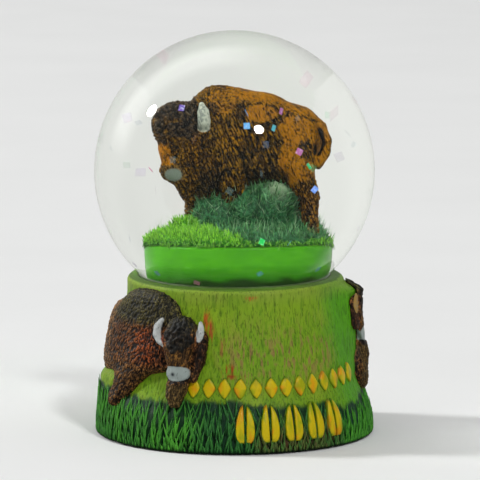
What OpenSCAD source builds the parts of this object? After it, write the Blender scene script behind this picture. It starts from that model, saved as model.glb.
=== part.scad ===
// Snow globe: a water-filled glass ball with a bison inside, glued into a cast resin base.
// Millimetres. Z is up, the table is z = 0, the front is -Y and the globe's axis is the Z axis.

/* [Glass ball] */
// Outer diameter of the ball
globe_d = 65; // [56:1:78]
// Thickness of the blown glass
glass_wall = 2; // [1.6:0.1:2.4]
// Outer diameter of the neck
neck_d = 39; // [32:0.5:42]
// Straight length of the neck below the ball
neck_len = 7; // [5.8:0.1:8.4]

/* [Stopper and pedestal] */
// Depth that the stopper reaches into the neck
plug_depth = 7.4; // [6.2:0.1:8.8]
// Thickness of the flange that closes the mouth of the neck
flange_t = 2; // [1.6:0.1:2.4]
// How far the flange and its seal stand out past the neck
flange_w = 0.7; // [0.5:0.1:0.9]
// Height of the green pedestal disc
pedestal_h = 12; // [10:0.5:14.5]
// Running room between the pedestal and the neck
pedestal_gap = 0.5; // [0.3:0.1:0.8]

/* [Base] */
// Diameter of the base at its foot
base_d = 65; // [60:1:78]
// Height of the collar's top above the table
base_h = 37; // [31:0.5:45]
// Width of the ring that the ball rests on
seat_w = 1.2; // [0.9:0.1:1.5]
// Width of the flat rim outside the seat
rim_w = 2.6; // [2.2:0.1:3.2]
// Rounding of the rim's outer edge
rim_round = 1.4; // [1:0.1:1.8]
// Height of the grass skirt
skirt_h = 12.5; // [10:0.5:15]
// How far the skirt stands out from the wall
skirt_proud = 1.1; // [0.8:0.1:1.4]
// Thickness of the felt pad
felt_t = 0.8; // [0.6:0.1:1]
// Depth of the recess that the felt lies in
felt_recess = 0.4; // [0.3:0.1:0.5]

/* [Relief animals on the base] */
// Angle of the left animal's head, from the front
left_head = -25; // [-35:1:-20]
// Angle of the right animal's head, from the front
right_head = 92; // [86:1:96]

/* [Glitter] */
// Side of one square flake
flake = 1.5; // [1:0.1:1.8]
// Thickness of a flake
flake_t = 0.1; // [0.08:0.01:0.12]
// Flakes that swirl round the figure
swirl_count = 20; // [12:1:26]
// Flakes that sink slowly
sink_count = 14; // [8:1:18]

/* [Hidden] */

// Glass and stopper, worked down from the ball
glue_gap = 0.3;                       // between ball and seat
globe_r = globe_d / 2;
bore_r = globe_r - glass_wall;        // inside of the ball
neck_r = neck_d / 2;
neck_bore = neck_r - glass_wall;
lip_r = neck_r + flange_w;            // rolled lip, flange and seal share this radius
lip_h = 1.6;
well_room = 0.9;                      // gap between the lip and the base's well
well_r = lip_r + well_room;
seat_r = well_r + seat_w;             // circle where the ball meets the top of the collar
collar_r = seat_r + rim_w;
globe_z = base_h + sqrt(pow(globe_r + glue_gap, 2) - seat_r * seat_r);
neck_top = globe_z - sqrt(globe_r * globe_r - neck_r * neck_r);
mouth_z = neck_top - neck_len;
plug_top = mouth_z + plug_depth;
flange_z = mouth_z - flange_t;
well_floor = flange_z - 1.5;
bead_t = 0.6;                         // seal bead outside the flange
film_t = 0.3;                         // glue film under the pedestal
pedestal_z = plug_top + film_t;
pedestal_top = pedestal_z + pedestal_h;
pedestal_r = neck_bore - pedestal_gap;
edge_round = 0.8;                     // rounded edges of the pedestal

// Base
foot_z = felt_t - felt_recess;
foot_r = base_d / 2;
wall_r = foot_r - 0.5;                // wall's own radius at the foot, without the skirt
felt_r = foot_r - 1.8;

// The figure is drawn at the size that passes a neck of 17.5 mm inner radius
fig = neck_bore / 17.5;
figure_x = 0.5 * fig;

// ---------- Glass ball ----------
module ball_and_neck(r, nr, bottom) {
    union() {
        translate([0, 0, globe_z]) sphere(r = r, $fn = 120);
        translate([0, 0, bottom]) cylinder(r = nr, h = globe_z - bottom, $fn = 96);
    }
}
module glass_globe() {
    color([0.9, 0.95, 0.95, 0.3])
    difference() {
        union() {
            ball_and_neck(globe_r, neck_r, mouth_z);
            translate([0, 0, mouth_z]) cylinder(r = lip_r, h = lip_h, $fn = 96);
        }
        ball_and_neck(bore_r, neck_bore, mouth_z - 1);
    }
}

// ---------- Stopper, seal and glue ----------
rib_count = 3;
rib_h = 0.8;
plug_core_r = neck_bore - 0.5;        // ribs reach the glass, the core stays clear of it
plug_wall = 3;
spigot_r = 5;                         // peg under the pedestal, glued into the stopper
spigot_h = 2.2;
hollow_h = plug_top - spigot_h - plug_wall - flange_z;
module rubber_stopper() {
    color([0.12, 0.12, 0.12])
    difference() {
        union() {
            translate([0, 0, flange_z]) cylinder(r = lip_r - bead_t, h = flange_t, $fn = 96);
            translate([0, 0, flange_z]) cylinder(r = plug_core_r, h = plug_top - flange_z, $fn = 96);
            for (i = [0 : rib_count - 1])
                translate([0, 0, mouth_z + 1 + i * (plug_depth - 2 - rib_h) / (rib_count - 1)])
                    cylinder(r = neck_bore, h = rib_h, $fn = 96);
        }
        translate([0, 0, flange_z - 1]) cylinder(r = plug_core_r - plug_wall, h = hollow_h + 1, $fn = 96);
        translate([0, 0, plug_top - spigot_h]) cylinder(r = spigot_r + 0.1, h = spigot_h + 1, $fn = 64);
    }
}
module mouth_seal() {
    color([0.8, 0.82, 0.8])
    translate([0, 0, flange_z]) difference() {
        cylinder(r = lip_r, h = flange_t, $fn = 96);
        translate([0, 0, -1]) cylinder(r = lip_r - bead_t, h = flange_t + 2, $fn = 96);
    }
}
// Glue fills the well round the neck and rises between the ball and its seat
bedding_h = 4;
skim = 0.02;                          // skin between the glue's straight facets and the round glass
function mix(a, b, t) = a + (b - a) * t;
function on_ball(r, a) = [r * sin(a), globe_z - r * cos(a)];
neck_angle = asin(neck_r / globe_r);
well_angle = asin(well_r / (globe_r + glue_gap));
seat_angle = asin(seat_r / (globe_r + glue_gap));
module bedding_glue() {
    color([0.85, 0.8, 0.6])
    rotate_extrude($fn = 96) polygon(concat(
        [[neck_r, neck_top - bedding_h], [well_r, neck_top - bedding_h]],
        [for (i = [0 : 3]) on_ball(globe_r + glue_gap - skim, mix(well_angle, seat_angle, i / 3))],
        [for (i = [3 : -1 : 1]) on_ball(globe_r + skim, mix(neck_angle, seat_angle, i / 3))],
        [[neck_r, neck_top]]));
}

// ---------- Pedestal ----------
function edge_point(z, a) = [pedestal_r + edge_round * (cos(a) - 1), z + edge_round * sin(a)];
module pedestal_disc() {
    color([0.3, 0.65, 0.15]) {
        rotate_extrude($fn = 120) translate([0, pedestal_z]) polygon(concat(
            [[0, 0]],
            [for (a = [-90 : 15 : 0]) edge_point(edge_round, a)],
            [for (a = [0 : 15 : 90]) edge_point(pedestal_h - edge_round, a)],
            [[0, pedestal_h]]));
        translate([0, 0, pedestal_z - spigot_h]) cylinder(r = spigot_r, h = spigot_h + 1, $fn = 64);
    }
}
module pedestal_glue() {
    color([0.85, 0.8, 0.6])
    translate([0, 0, plug_top]) difference() {
        cylinder(r = pedestal_r - 2, h = film_t, $fn = 96);
        translate([0, 0, -1]) cylinder(r = spigot_r + 0.1, h = film_t + 2, $fn = 64);
    }
}

// ---------- Figure: lumps are [x, y, z, radius], x towards the rump, z above the pedestal ----------
module lump(c, grow, fn) { translate([c[0], c[1], c[2]]) sphere(r = c[3] + grow, $fn = fn); }
module blend(lumps, grow, fn) { hull() for (c = lumps) lump(c, grow, fn); }

shoulder = [-4.4, 0, 20.0, 5.6];
hump = [-3.6, 0, 24.6, 4.3];
withers = [-7.6, 0, 22.2, 3.9];
chest = [-5.6, 0, 14.8, 4.8];
saddle = [4.6, 0, 22.8, 4.5];
belly = [4.0, 0, 16.6, 4.5];
croup = [11.0, 0, 20.6, 4.2];
rump = [12.1, 0, 17.8, 4.5];
poll = [-11.0, -0.8, 20.6, 3.3];
topknot = [-12.0, -0.8, 22.4, 2.8];
brow = [-11.6, -0.9, 18.4, 2.7];
muzzle = [-11.6, -1.2, 14.2, 2.0];
jaw = [-9.6, -1.0, 15.2, 2.2];
beard = [-8.6, -0.8, 9.4, 0.9];
leg_y = 2.7;
hoof_z = 3.4;
function fore_leg(side) = [[-3.4, side * leg_y, 13.5, 2.3], [-2.6 - side * 0.6, side * leg_y, 8.4, 1.4],
    [-3.2 + side * 1.2, side * leg_y, hoof_z, 1.1]];
function hind_leg(side) = [[11.2, side * leg_y, 15.2, 2.9], [13.2, side * leg_y, 9.4, 1.4],
    [12.2 - side * 0.5, side * leg_y, hoof_z, 1.1]];
function horn_line(side) = [[-7.6, -0.8 + side * 4.2, 20.6, 0.8], [-7.0, -0.8 + side * 4.9, 23.0, 0.7],
    [-7.4, -0.8 + side * 4.2, 25.2, 0.35]];
tail = [[14.6, 0, 20.2, 1.2], [15.6, -0.6, 17.2, 0.7], [14.6, -1.2, 13.4, 0.9]];
module limb(line, grow, fn) {
    blend([line[0], line[1]], grow, fn);
    blend([line[1], line[2]], grow, fn);
}
module bison_body(grow = 0) {
    fn = 20;
    translate([figure_x, 0, 0]) scale(fig) {
        blend([shoulder, hump, withers], grow, fn);
        blend([hump, saddle, shoulder, belly], grow, fn);
        blend([shoulder, chest, belly], grow, fn);
        blend([saddle, belly, croup, rump], grow, fn);
        blend([withers, poll, chest], grow, fn);
        blend([poll, topknot, brow], grow, fn);
        blend([brow, muzzle, jaw], grow, fn);
        blend([jaw, chest, beard], grow, fn);
        for (side = [-1, 1]) {
            limb(horn_line(side), grow, 10);
            limb(fore_leg(side), grow, 12);
            limb(hind_leg(side), grow, 12);
        }
        limb(tail, grow, 10);
    }
}
module bison_figure() {
    color([0.5, 0.32, 0.1]) translate([0, 0, pedestal_top]) bison_body();
}

// ---------- Grass mound ----------
tuft_count = 26;
mound_r = pedestal_r - 0.5;
foot_h = 1.2;                         // upright edge of the dome
crown_z = 5;                          // the dome's flat crown starts here
crown_h = 0.6;
bush_low = [[-5, 0.4, 5, 3.4], [4, 0.4, 5.4, 5.2], [1, -0.2, 7, 4.2], [7.8, -0.4, 8.2, 3.8]];
bush_high = [[-3, 0.6, 7.5, 3.2], [3, 0.4, 9, 3.6]];
module dome() {
    hull() {
        cylinder(r = mound_r, h = foot_h, $fn = 48);
        translate([0, 0, 3.2]) cylinder(r = mound_r - 1.2, h = 0.6, $fn = 48);
        translate([0, 0, crown_z]) cylinder(r = mound_r * 0.6, h = crown_h, $fn = 32);
    }
}
module bush() {
    scale(fig) {
        blend([bush_low[0], bush_low[1]], 0, 18);
        blend([bush_low[2], bush_low[3]], 0, 18);
        blend(bush_high, 0, 18);
    }
}
module tuft(h) { blend([[0, 0, 0, 0.9], [0.5, 0.2, h, 0.5]], 0, 8); }
socket_gap = 0.08;
module grass_mound() {
    color([0.2, 0.45, 0.18]) translate([0, 0, pedestal_top]) difference() {
        union() {
            dome();
            bush();
            for (i = [0 : tuft_count - 1])
                rotate(i * 360 / tuft_count) translate([mound_r - 2.2, 0, 2]) tuft(1.5 + 0.6 * sin(i * 137));
        }
        bison_body(socket_gap);
    }
}

// ---------- Glitter: a flake is [angle from the front, height above the ball's centre, radius] ----------
sweep_r = pedestal_r + 1;             // the figure's widest circle, with room to pass
module square(grow) { cube([flake + grow, flake + grow, flake_t + grow], center = true); }
module flakes(places, grow = 0) {
    for (i = [0 : len(places) - 1]) let (p = places[i])
        rotate(p[0]) translate([0, -p[2], globe_z + p[1]])
            rotate([70 + 25 * sin(i * 97), 30 * sin(i * 61), i * 41]) square(grow);
}
// A ring of flakes at golden angles, each at a share of the free height and of the free width
turn = 137.508;
flake_room = 1.2;
function free_r(z) = sqrt(bore_r * bore_r - z * z) - flake_room;
function ring(n, low, high, inner, outer, start) = [for (i = [0 : n - 1])
    let (z = low + (high - low) * (i + 0.5) / n, a = start + i * turn,
         r = inner + (min(outer, free_r(z)) - inner) * (0.5 + 0.45 * sin(i * 83)))
    [a, z, r]];
function chosen(list, r) = [for (p = list) let (z = p[1] * bore_r) [p[0], z, min(r, free_r(z))]];
mid_r = (sweep_r + bore_r) / 2;
// Flakes seen from the front: [angle, height as a share of the bore's radius]
front_swirl = [[6, 0.44], [19, 0.42], [36, 0.13], [-41, 0.1], [31, 0.24], [13, -0.4], [27, -0.42],
    [39, -0.04]];
front_sink = [[-32, 0.52], [28, 0.5], [7, 0.5]];
swirl_places = concat(chosen(front_swirl, (mid_r + bore_r) / 2),
    ring(swirl_count, -0.45 * bore_r, 0.5 * bore_r, mid_r + flake_room, bore_r - flake_room, 300));
sink_places = concat(chosen(front_sink, (sweep_r + mid_r) / 2),
    ring(sink_count, -0.1 * bore_r, 0.45 * bore_r, sweep_r + flake_room, mid_r - flake_room, 220));
module swirling_glitter() { color([0.6, 0.8, 0.9]) flakes(swirl_places); }
module sinking_glitter() { color([0.8, 0.6, 0.9]) flakes(sink_places); }
// Flakes that have come down and lie on the glass where the ball narrows to the neck
rest_angles = concat([-22, -3, 13], [for (i = [0 : 9]) 45 + i * 30 + 9 * sin(i * 71)]);
rest_skim = 0.03;
module resting(grow = 0) {
    for (i = [0 : len(rest_angles) - 1])
        rotate(rest_angles[i]) translate([0, 0, globe_z])
            rotate([neck_angle + 4 + 9 * abs(sin(i * 53)), 0, 0])
                translate([0, 0, rest_skim + flake_t / 2 - sqrt(bore_r * bore_r - flake * flake / 2)])
                    rotate(i * 29) square(grow);
}
module resting_glitter() { color([0.6, 0.9, 0.7]) resting(); }

// ---------- Liquid ----------
liquid_gap = 0.12;
pocket = 0.06;                        // how much a flake's pocket is larger than the flake
room = 0.35;
module figure_room() {
    translate([figure_x, 0, 0])
    scale(fig) {
        blend([shoulder, hump, withers, chest, poll, topknot, brow, muzzle, jaw, beard], room, 16);
        blend([hump, shoulder, chest, saddle, belly, croup, rump], room, 16);
        blend(concat(horn_line(-1), horn_line(1)), room, 10);
        blend(concat(fore_leg(-1), fore_leg(1)), room, 12);
        blend(concat(hind_leg(-1), hind_leg(1), tail), room, 12);
    }
    hull() {
        cylinder(r = mound_r + room, h = foot_h, $fn = 48);
        translate([0, 0, crown_z]) cylinder(r = mound_r - 0.6, h = crown_h + room, $fn = 48);
    }
    scale(fig) blend(concat(bush_low, bush_high), room, 16);
}
module liquid_fill() {
    color([0.85, 0.93, 0.95, 0.3])
    difference() {
        ball_and_neck(bore_r, neck_bore, plug_top);
        translate([0, 0, plug_top - bore_r]) cylinder(r = bore_r, h = bore_r, $fn = 96);
        translate([0, 0, plug_top - 1])
            cylinder(r = pedestal_r + liquid_gap, h = pedestal_h + film_t + 1, $fn = 96);
        translate([0, 0, pedestal_top]) figure_room();
        flakes(swirl_places, pocket);
        flakes(sink_places, pocket);
        resting(2 * pocket);
    }
}

// ---------- Base ----------
// Wall of the base without any relief
function wall(z) = collar_r + (wall_r - collar_r) * pow(max(0, 1 - z / (base_h - 4)), 1.15);
// Grass skirt: a ledge with an uneven top edge
function blade_top(a) = skirt_h + 1.2 * sin(a * 17) + 0.9 * sin(a * 29 + 40);
function skirt(a, z) = skirt_proud * min(1, max(0, (blade_top(a) - z) / 1.5));
// Relief lumps: [angle from the head, share of the base's height, half width, half height,
// inset from the foot's radius, tilt]
relief = [
    [-34, 0.66, 12.5, 9.5, 2.6, 0],    // body
    [-14, 0.80, 8.5, 5.5, 3.6, 10],    // hump
    [-62, 0.54, 8.0, 9.0, 1.8, 0],     // haunch
    [-12, 0.52, 6.0, 6.5, 2.2, -20],   // chest
    [0, 0.66, 4.6, 6.0, 0.9, 0],       // brow
    [0, 0.50, 3.2, 4.6, 0.6, 0],       // muzzle
    [0, 0.36, 2.2, 4.0, 0.8, 0],       // beard
    [-46, 0.36, 2.4, 5.0, 1.0, 15]];   // hind leg
lump_depth = 6;
function one_lump(p, side, head, a, z) =
    let (mid = base_h * p[1], across = (side * (a - head) - p[0]) * PI / 180 * wall(z), up = z - mid,
         u = (across * cos(p[5]) + up * sin(p[5])) / p[2],
         v = (up * cos(p[5]) - across * sin(p[5])) / p[3],
         q = 1 - u * u - v * v)
    q <= 0 ? 0 : foot_r - p[4] - lump_depth * (1 - sqrt(q));
function animals(a, z) = max([for (p = relief)
    max(one_lump(p, 1, left_head, a, z), one_lump(p, -1, right_head, a, z - base_h * 0.12))]);
columns = 120;
rows = 33;
levels = concat(
    [for (i = [0 : rows]) foot_z + (base_h - rim_round - foot_z) * i / rows],
    [for (t = [22.5 : 22.5 : 90]) base_h - rim_round + rim_round * sin(t)]);
function rounding(z) = z <= base_h - rim_round ? 0 :
    rim_round - sqrt(max(0, rim_round * rim_round - pow(z - base_h + rim_round, 2)));
function skin(a, z) = min(foot_r, max(wall(z) + skirt(a, z), animals(a, z))) - rounding(z);
module base_skin() {
    rings = len(levels);
    function at(i, j) = i * columns + (j % columns);
    function on_skin(a, z) = let (r = skin(a, z)) [r * sin(a), -r * cos(a), z];
    polyhedron(
        points = [for (z = levels) for (j = [0 : columns - 1]) on_skin(j * 360 / columns - 180, z)],
        faces = concat(
            [[for (j = [0 : columns - 1]) at(0, j)], [for (j = [columns - 1 : -1 : 0]) at(rings - 1, j)]],
            [for (i = [0 : rings - 2]) for (j = [0 : columns - 1]) each [
                [at(i, j), at(i + 1, j), at(i + 1, j + 1)],
                [at(i, j), at(i + 1, j + 1), at(i, j + 1)]]]));
}
module resin_base() {
    color([0.35, 0.5, 0.15])
    difference() {
        base_skin();
        translate([0, 0, globe_z]) sphere(r = globe_r + glue_gap, $fn = 120);
        translate([0, 0, well_floor]) cylinder(r = well_r, h = base_h, $fn = 96);
        translate([0, 0, -1]) cylinder(r = felt_r + 0.2, h = felt_t + 1, $fn = 96);
    }
}
module felt_pad() { color([0.1, 0.2, 0.1]) cylinder(r = felt_r, h = felt_t, $fn = 96); }

resin_base();
felt_pad();
glass_globe();
bedding_glue();
rubber_stopper();
mouth_seal();
pedestal_disc();
pedestal_glue();
grass_mound();
bison_figure();
liquid_fill();
swirling_glitter();
sinking_glitter();
resting_glitter();
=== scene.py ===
# %% [markdown]
# # A snow globe with a bison
# The object is a water-filled glass ball glued into a cast resin base. A bison stands inside it on a
# grass mound, and square glitter flakes float round it. The construction, with every size and joint,
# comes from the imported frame. This script gives each visible surface its shape in detail and its finish.

# %% Load the frame
import itertools
import math

import bmesh
import bpy
import numpy as np
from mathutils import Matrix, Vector, kdtree


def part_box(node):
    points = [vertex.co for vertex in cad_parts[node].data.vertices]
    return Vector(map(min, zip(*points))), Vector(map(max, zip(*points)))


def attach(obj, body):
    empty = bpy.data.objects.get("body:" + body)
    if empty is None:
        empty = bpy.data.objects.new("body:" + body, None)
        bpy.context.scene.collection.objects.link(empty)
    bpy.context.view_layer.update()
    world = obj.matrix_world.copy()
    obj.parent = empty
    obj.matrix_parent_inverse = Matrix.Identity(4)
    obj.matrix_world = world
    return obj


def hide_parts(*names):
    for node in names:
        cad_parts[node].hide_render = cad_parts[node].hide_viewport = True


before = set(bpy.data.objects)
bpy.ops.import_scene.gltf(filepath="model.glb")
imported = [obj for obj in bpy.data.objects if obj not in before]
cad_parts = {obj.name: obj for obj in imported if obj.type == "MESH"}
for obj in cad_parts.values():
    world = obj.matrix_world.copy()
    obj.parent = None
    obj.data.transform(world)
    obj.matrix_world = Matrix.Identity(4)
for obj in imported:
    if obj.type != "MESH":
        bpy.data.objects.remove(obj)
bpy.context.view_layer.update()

MM = 0.001
body = "globe"

# %% [markdown]
# ## Sizes
# Every round part stands on one axis, so a radius and a few heights place them all. They are read from
# the frame's nodes in millimetres, because a sculptor thinks of a souvenir in millimetres.

# %% Sizes from the frame
def reach(node):
    """Largest distance of a node from the Z axis, in mm."""
    return max(math.hypot(v.co.x, v.co.y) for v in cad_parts[node].data.vertices) / MM


def heights(node):
    """Lowest and highest point of a node, in mm."""
    low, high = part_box(node)
    return low.z / MM, high.z / MM


ball_r = round(reach("glass_globe"), 1)
mouth_z, ball_top = heights("glass_globe")
ball_z = ball_top - ball_r
bore_r = heights("liquid_fill")[1] - ball_z
wall_t = ball_r - bore_r
plug_z, plug_top = heights("rubber_stopper")
pedestal_r = reach("pedestal_disc")
pedestal_top = heights("pedestal_disc")[1]
pedestal_z = heights("pedestal_glue")[1]
neck_bore = pedestal_r + 0.5
neck_r = neck_bore + wall_t
lip_r = reach("mouth_seal")
seat_r = reach("bedding_glue")
well_r = seat_r - 1.2
well_floor = plug_z - 1.5
foot_z, collar_z = heights("resin_base")
foot_r = reach("resin_base")
collar_r = seat_r + 2.6
rim_round = 1.4
felt_top = heights("felt_pad")[1]
felt_r = reach("felt_pad")
print("ball", ball_r, "at", round(ball_z, 2), "bore", round(bore_r, 2), "neck", round(neck_r, 2))
print("pedestal", round(pedestal_r, 2), "from", round(pedestal_z, 2), "to", round(pedestal_top, 2))
print("collar", round(collar_r, 2), "at", round(collar_z, 2), "foot", round(foot_r, 2))

# %% [markdown]
# ## Meshes from arrays
# A turned or carved surface is worked out as arrays of points and faces, all at once, which numpy does
# quickly. One helper hands the arrays to Blender as a mesh whose place is in its points.

# %% Mesh helpers
def in_scene(name, data):
    """A new object of some data, in the scene."""
    made = bpy.data.objects.new(name, data)
    bpy.context.scene.collection.objects.link(made)
    return made


def new_piece(name, points, faces):
    """A smooth mesh object from points in mm and faces that all have the same number of corners."""
    faces = np.asarray(faces, dtype=np.int32)
    mesh = bpy.data.meshes.new(name)
    mesh.vertices.add(len(points))
    mesh.vertices.foreach_set("co", (np.asarray(points, dtype=float) * MM).ravel())
    mesh.loops.add(faces.size)
    mesh.loops.foreach_set("vertex_index", faces.ravel())
    mesh.polygons.add(len(faces))
    mesh.polygons.foreach_set("loop_start", np.arange(len(faces)) * faces.shape[1])
    mesh.update(calc_edges=True)
    mesh.shade_smooth()
    return in_scene(name, mesh)


def move_points(piece, points):
    """Give a piece's points new places in mm."""
    piece.data.vertices.foreach_set("co", (points * MM).ravel())
    piece.data.update()


def settle(piece, slot, *nodes, rides=body):
    """Put a finished piece on its body and hide the nodes that it stands for; the slot, the name of its
    finish, is not used.
    """
    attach(piece, rides)
    if nodes:
        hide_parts(*nodes)
    print(piece.name, len(piece.data.polygons), "faces on", rides)


# %% [markdown]
# The potter's way to a round shape is a profile turned about an axis. A row of the grid that lies on
# the axis would be a ring of coincident points, so it shares one point and its flat faces are dropped,
# which closes the pole.

# %% Turning a profile
def joined_grid(index):
    """Triangles between the rows of a grid of point numbers whose columns close into a ring."""
    after = np.roll(index, -1, axis=1)
    near, near_next, far, far_next = index[:-1], after[:-1], index[1:], after[1:]
    triangles = np.concatenate([
        np.stack([near, near_next, far_next], -1).reshape(-1, 3),
        np.stack([near, far_next, far], -1).reshape(-1, 3)])
    a, b, c = triangles.T
    return triangles[(a != b) & (b != c) & (c != a)]


def without_strays(points, triangles):
    """The points that triangles use, and the triangles with the numbers that those points now have."""
    used, renumbered = np.unique(triangles, return_inverse=True)
    return points[used], renumbered.reshape(-1, 3)


def turned(profile, steps):
    """Points and triangles of a profile of (radius, height) turned round the Z axis."""
    profile = np.asarray(profile, dtype=float)
    angles = np.arange(steps) * 2 * math.pi / steps
    radius, height = profile[:, 0][:, None], profile[:, 1][:, None]
    grid = np.stack([radius * np.cos(angles), radius * np.sin(angles), height + 0 * angles], -1)
    index = np.arange(grid.shape[0] * steps).reshape(-1, steps)
    on_axis = profile[:, 0] < 1e-9
    index[on_axis] = index[on_axis][:, :1]
    return without_strays(grid.reshape(-1, 3), joined_grid(index))


def arc(centre_r, centre_z, radius, start, end, steps):
    """Profile points on an arc; angles in degrees, 0 outwards and 90 up."""
    turns = np.radians(np.linspace(start, end, steps))
    return [(centre_r + radius * math.cos(t), centre_z + radius * math.sin(t)) for t in turns]


# %% [markdown]
# ## Colour and node maths
# Paint colours are written as a painter reads them off a chart, in display values from 0 to 255, and
# turned into the linear light that a renderer adds up. Shader networks are written as Python sums:
# a Wire is one socket, and an operator between wires adds the Math node that does it.

# %% Colours
def tone(red, green, blue):
    """Linear colour of display values from 0 to 255."""
    c = np.array([red, green, blue], dtype=float) / 255
    return np.where(c <= 0.04045, c / 12.92, ((c + 0.055) / 1.055) ** 2.4)


def rgba(red, green, blue):
    """The same colour as a socket takes it."""
    return (*tone(red, green, blue), 1.0)


# %% Node maths
def find_socket(sockets, key):
    """A socket by its number, its identifier or its name."""
    if isinstance(key, int):
        return sockets[key]
    return next((s for s in sockets if s.identifier == key), None) or sockets[key]


def set_stops(elements, stops):
    """Give a colour ramp its stops of (position, colour)."""
    while len(elements) < len(stops):
        elements.new(1.0)
    for element, (position, colour) in zip(elements, stops):
        element.position = position
        element.color = colour


class Wire:
    """One output socket that takes part in Python arithmetic."""

    def __init__(self, graph, socket):
        self.graph = graph
        self.socket = socket

    def maths(self, operation, *terms):
        return self.graph.node("ShaderNodeMath", {"operation": operation}, dict(enumerate(terms)))

    def __add__(self, other):
        return self.maths("ADD", self, other)

    def __sub__(self, other):
        return self.maths("SUBTRACT", self, other)

    def __rsub__(self, other):
        return self.maths("SUBTRACT", other, self)

    def __mul__(self, other):
        return self.maths("MULTIPLY", self, other)

    def __truediv__(self, other):
        return self.maths("DIVIDE", self, other)

    __radd__ = __add__
    __rmul__ = __mul__

    def clamped(self):
        """The value held between 0 and 1."""
        return self.graph.node("ShaderNodeClamp", {}, {"Value": self})

    def output(self, key):
        """Another output of the same node."""
        return Wire(self.graph, find_socket(self.socket.node.outputs, key))


class Graph:
    """A node tree that is built by calls."""

    def __init__(self, tree):
        self.tree = tree

    def node(self, kind, settings={}, inputs={}, out=0):
        """Add a node: its settings first, then the values or wires of its inputs."""
        made = self.tree.nodes.new(kind)
        for key, value in settings.items():
            if key == "stops":
                set_stops(made.color_ramp.elements, value)
            else:
                setattr(made, key, value)
        for key, value in inputs.items():
            self.feed(made, key, value)
        return Wire(self, find_socket(made.outputs, out)) if made.outputs else made

    def feed(self, node, key, value):
        """Link a wire to an input, or set the input's own value."""
        target = find_socket(node.inputs, key)
        if isinstance(value, Wire):
            self.tree.links.new(value.socket, target)
        else:
            target.default_value = value

    def place(self):
        """The point in the object's own coordinates, which are the frame's."""
        return self.node("ShaderNodeTexCoord", {}, {}, "Object")

    def stored(self, name, out):
        """A value or colour that the mesh carries."""
        return self.node("ShaderNodeAttribute", {"attribute_name": name}, {}, out)

    def scaled(self, vector, factor):
        """A vector or colour times a value."""
        return self.node("ShaderNodeVectorMath", {"operation": "SCALE"}, {0: vector, "Scale": factor})

    def chosen(self, factor, first, second):
        """One shader, or where the factor is 1 another."""
        return self.node("ShaderNodeMixShader", {}, {0: factor, 1: first, 2: second})

    def mixed(self, first, second, factor):
        """Colours mixed by a factor."""
        return self.node("ShaderNodeMix", {"data_type": "RGBA"},
                         {"Factor_Float": factor, "A_Color": first, "B_Color": second}, "Result_Color")


print("node maths ready")

# %% [markdown]
# Every finish starts from the same shader, so one helper makes a material, sets the values that are
# the same all over on the shader's own sockets, and hands back the graph for what varies. Patterns sit
# on Object coordinates, which are metres in the frame: a noise of scale 1000 has lumps of a millimetre.

# %% Materials
def new_finish(name, constants):
    """A material, its graph and its shader node."""
    material = bpy.data.materials.new(name)
    material.use_nodes = True
    graph = Graph(material.node_tree)
    shader = material.node_tree.nodes["Principled BSDF"]
    for key, value in constants.items():
        shader.inputs[key].default_value = value
    return material, graph, shader


def grain(graph, size, detail=2.0, stretch=(1, 1, 1), warp=0.0, tilt=0.0):
    """Noise from 0 to 1 whose lumps are so many mm wide, drawn out along an axis by a stretch under 1.

    The tilt, in degrees about Y, leans the drawn-out lumps.
    """
    placed = graph.node("ShaderNodeMapping", {"vector_type": "TEXTURE"}, {
        "Vector": graph.place(), "Rotation": (0, math.radians(tilt), 0),
        "Scale": [1 / share for share in stretch]})
    return graph.node("ShaderNodeTexNoise", {}, {"Vector": placed, "Scale": 1 / (size * MM),
                                                 "Detail": detail, "Distortion": warp}, "Fac")


def bump(graph, shader, height, depth, strength=1.0):
    """Fine relief of a depth in mm, from a height between 0 and 1."""
    graph.feed(shader, "Normal", graph.node(
        "ShaderNodeBump", {}, {"Height": height, "Distance": depth * MM, "Strength": strength}))


def ramp(graph, value, *stops):
    """Colours along a value."""
    return graph.node("ShaderNodeValToRGB", {"stops": stops}, {"Fac": value}, "Color")


def wear(graph, shader, value, low, high):
    """Roughness that runs from low to high along a value."""
    graph.feed(shader, "Roughness", graph.node(
        "ShaderNodeMapRange", {}, {"Value": value, "To Min": low, "To Max": high}))


# %% [markdown]
# ## Glass ball
# The ball is blown glass, two millimetres thick, with a straight neck and a rolled lip. It is turned as
# one closed shell: down the inside, round the lip, and up the outside. Light bends twice here, from air
# into glass and from glass into water, so the outside has the index of glass and the inside the ratio
# of glass to water. That ratio is what makes the figure look larger than it is, as in a real globe.
# Shadow rays pass straight through, because a path tracer can't find a small lamp through bent rays.

# %% Glass profile and mesh
ball_steps = 256
fillet = 1.2
lip_h = 1.6


def ball_and_neck(radius, neck, tuck):
    """Profile up a neck of one radius, round a fillet and over a ball, as far as its pole."""
    rise = math.degrees(math.acos((neck + tuck) / (radius + tuck)))
    fillet_z = ball_z - (radius + tuck) * math.sin(math.radians(rise))
    turn = arc(neck + tuck, fillet_z, tuck, 180, 180 - rise, 7)
    over = arc(0, ball_z, radius, -rise, 90, 120)
    return turn + over[1:-1] + [(0, ball_z + radius)]


outside = ball_and_neck(ball_r, neck_r, fillet)
inside = ball_and_neck(bore_r, neck_bore, 0.4)
lip = (arc(neck_bore + 0.3, mouth_z + 0.3, 0.3, 180, 270, 4)
       + arc(lip_r - 0.7, mouth_z + 0.7, 0.7, -90, 0, 6)
       + arc(lip_r - 0.7, mouth_z + lip_h - 0.7, 0.7, 0, 80, 6) + [(neck_r, mouth_z + lip_h + 0.2)])
shell = inside[::-1] + lip + outside
points, faces = turned(shell, ball_steps)
globe_glass = new_piece("globe_glass", points, faces)
print("glass profile of", len(shell), "points")

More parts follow.
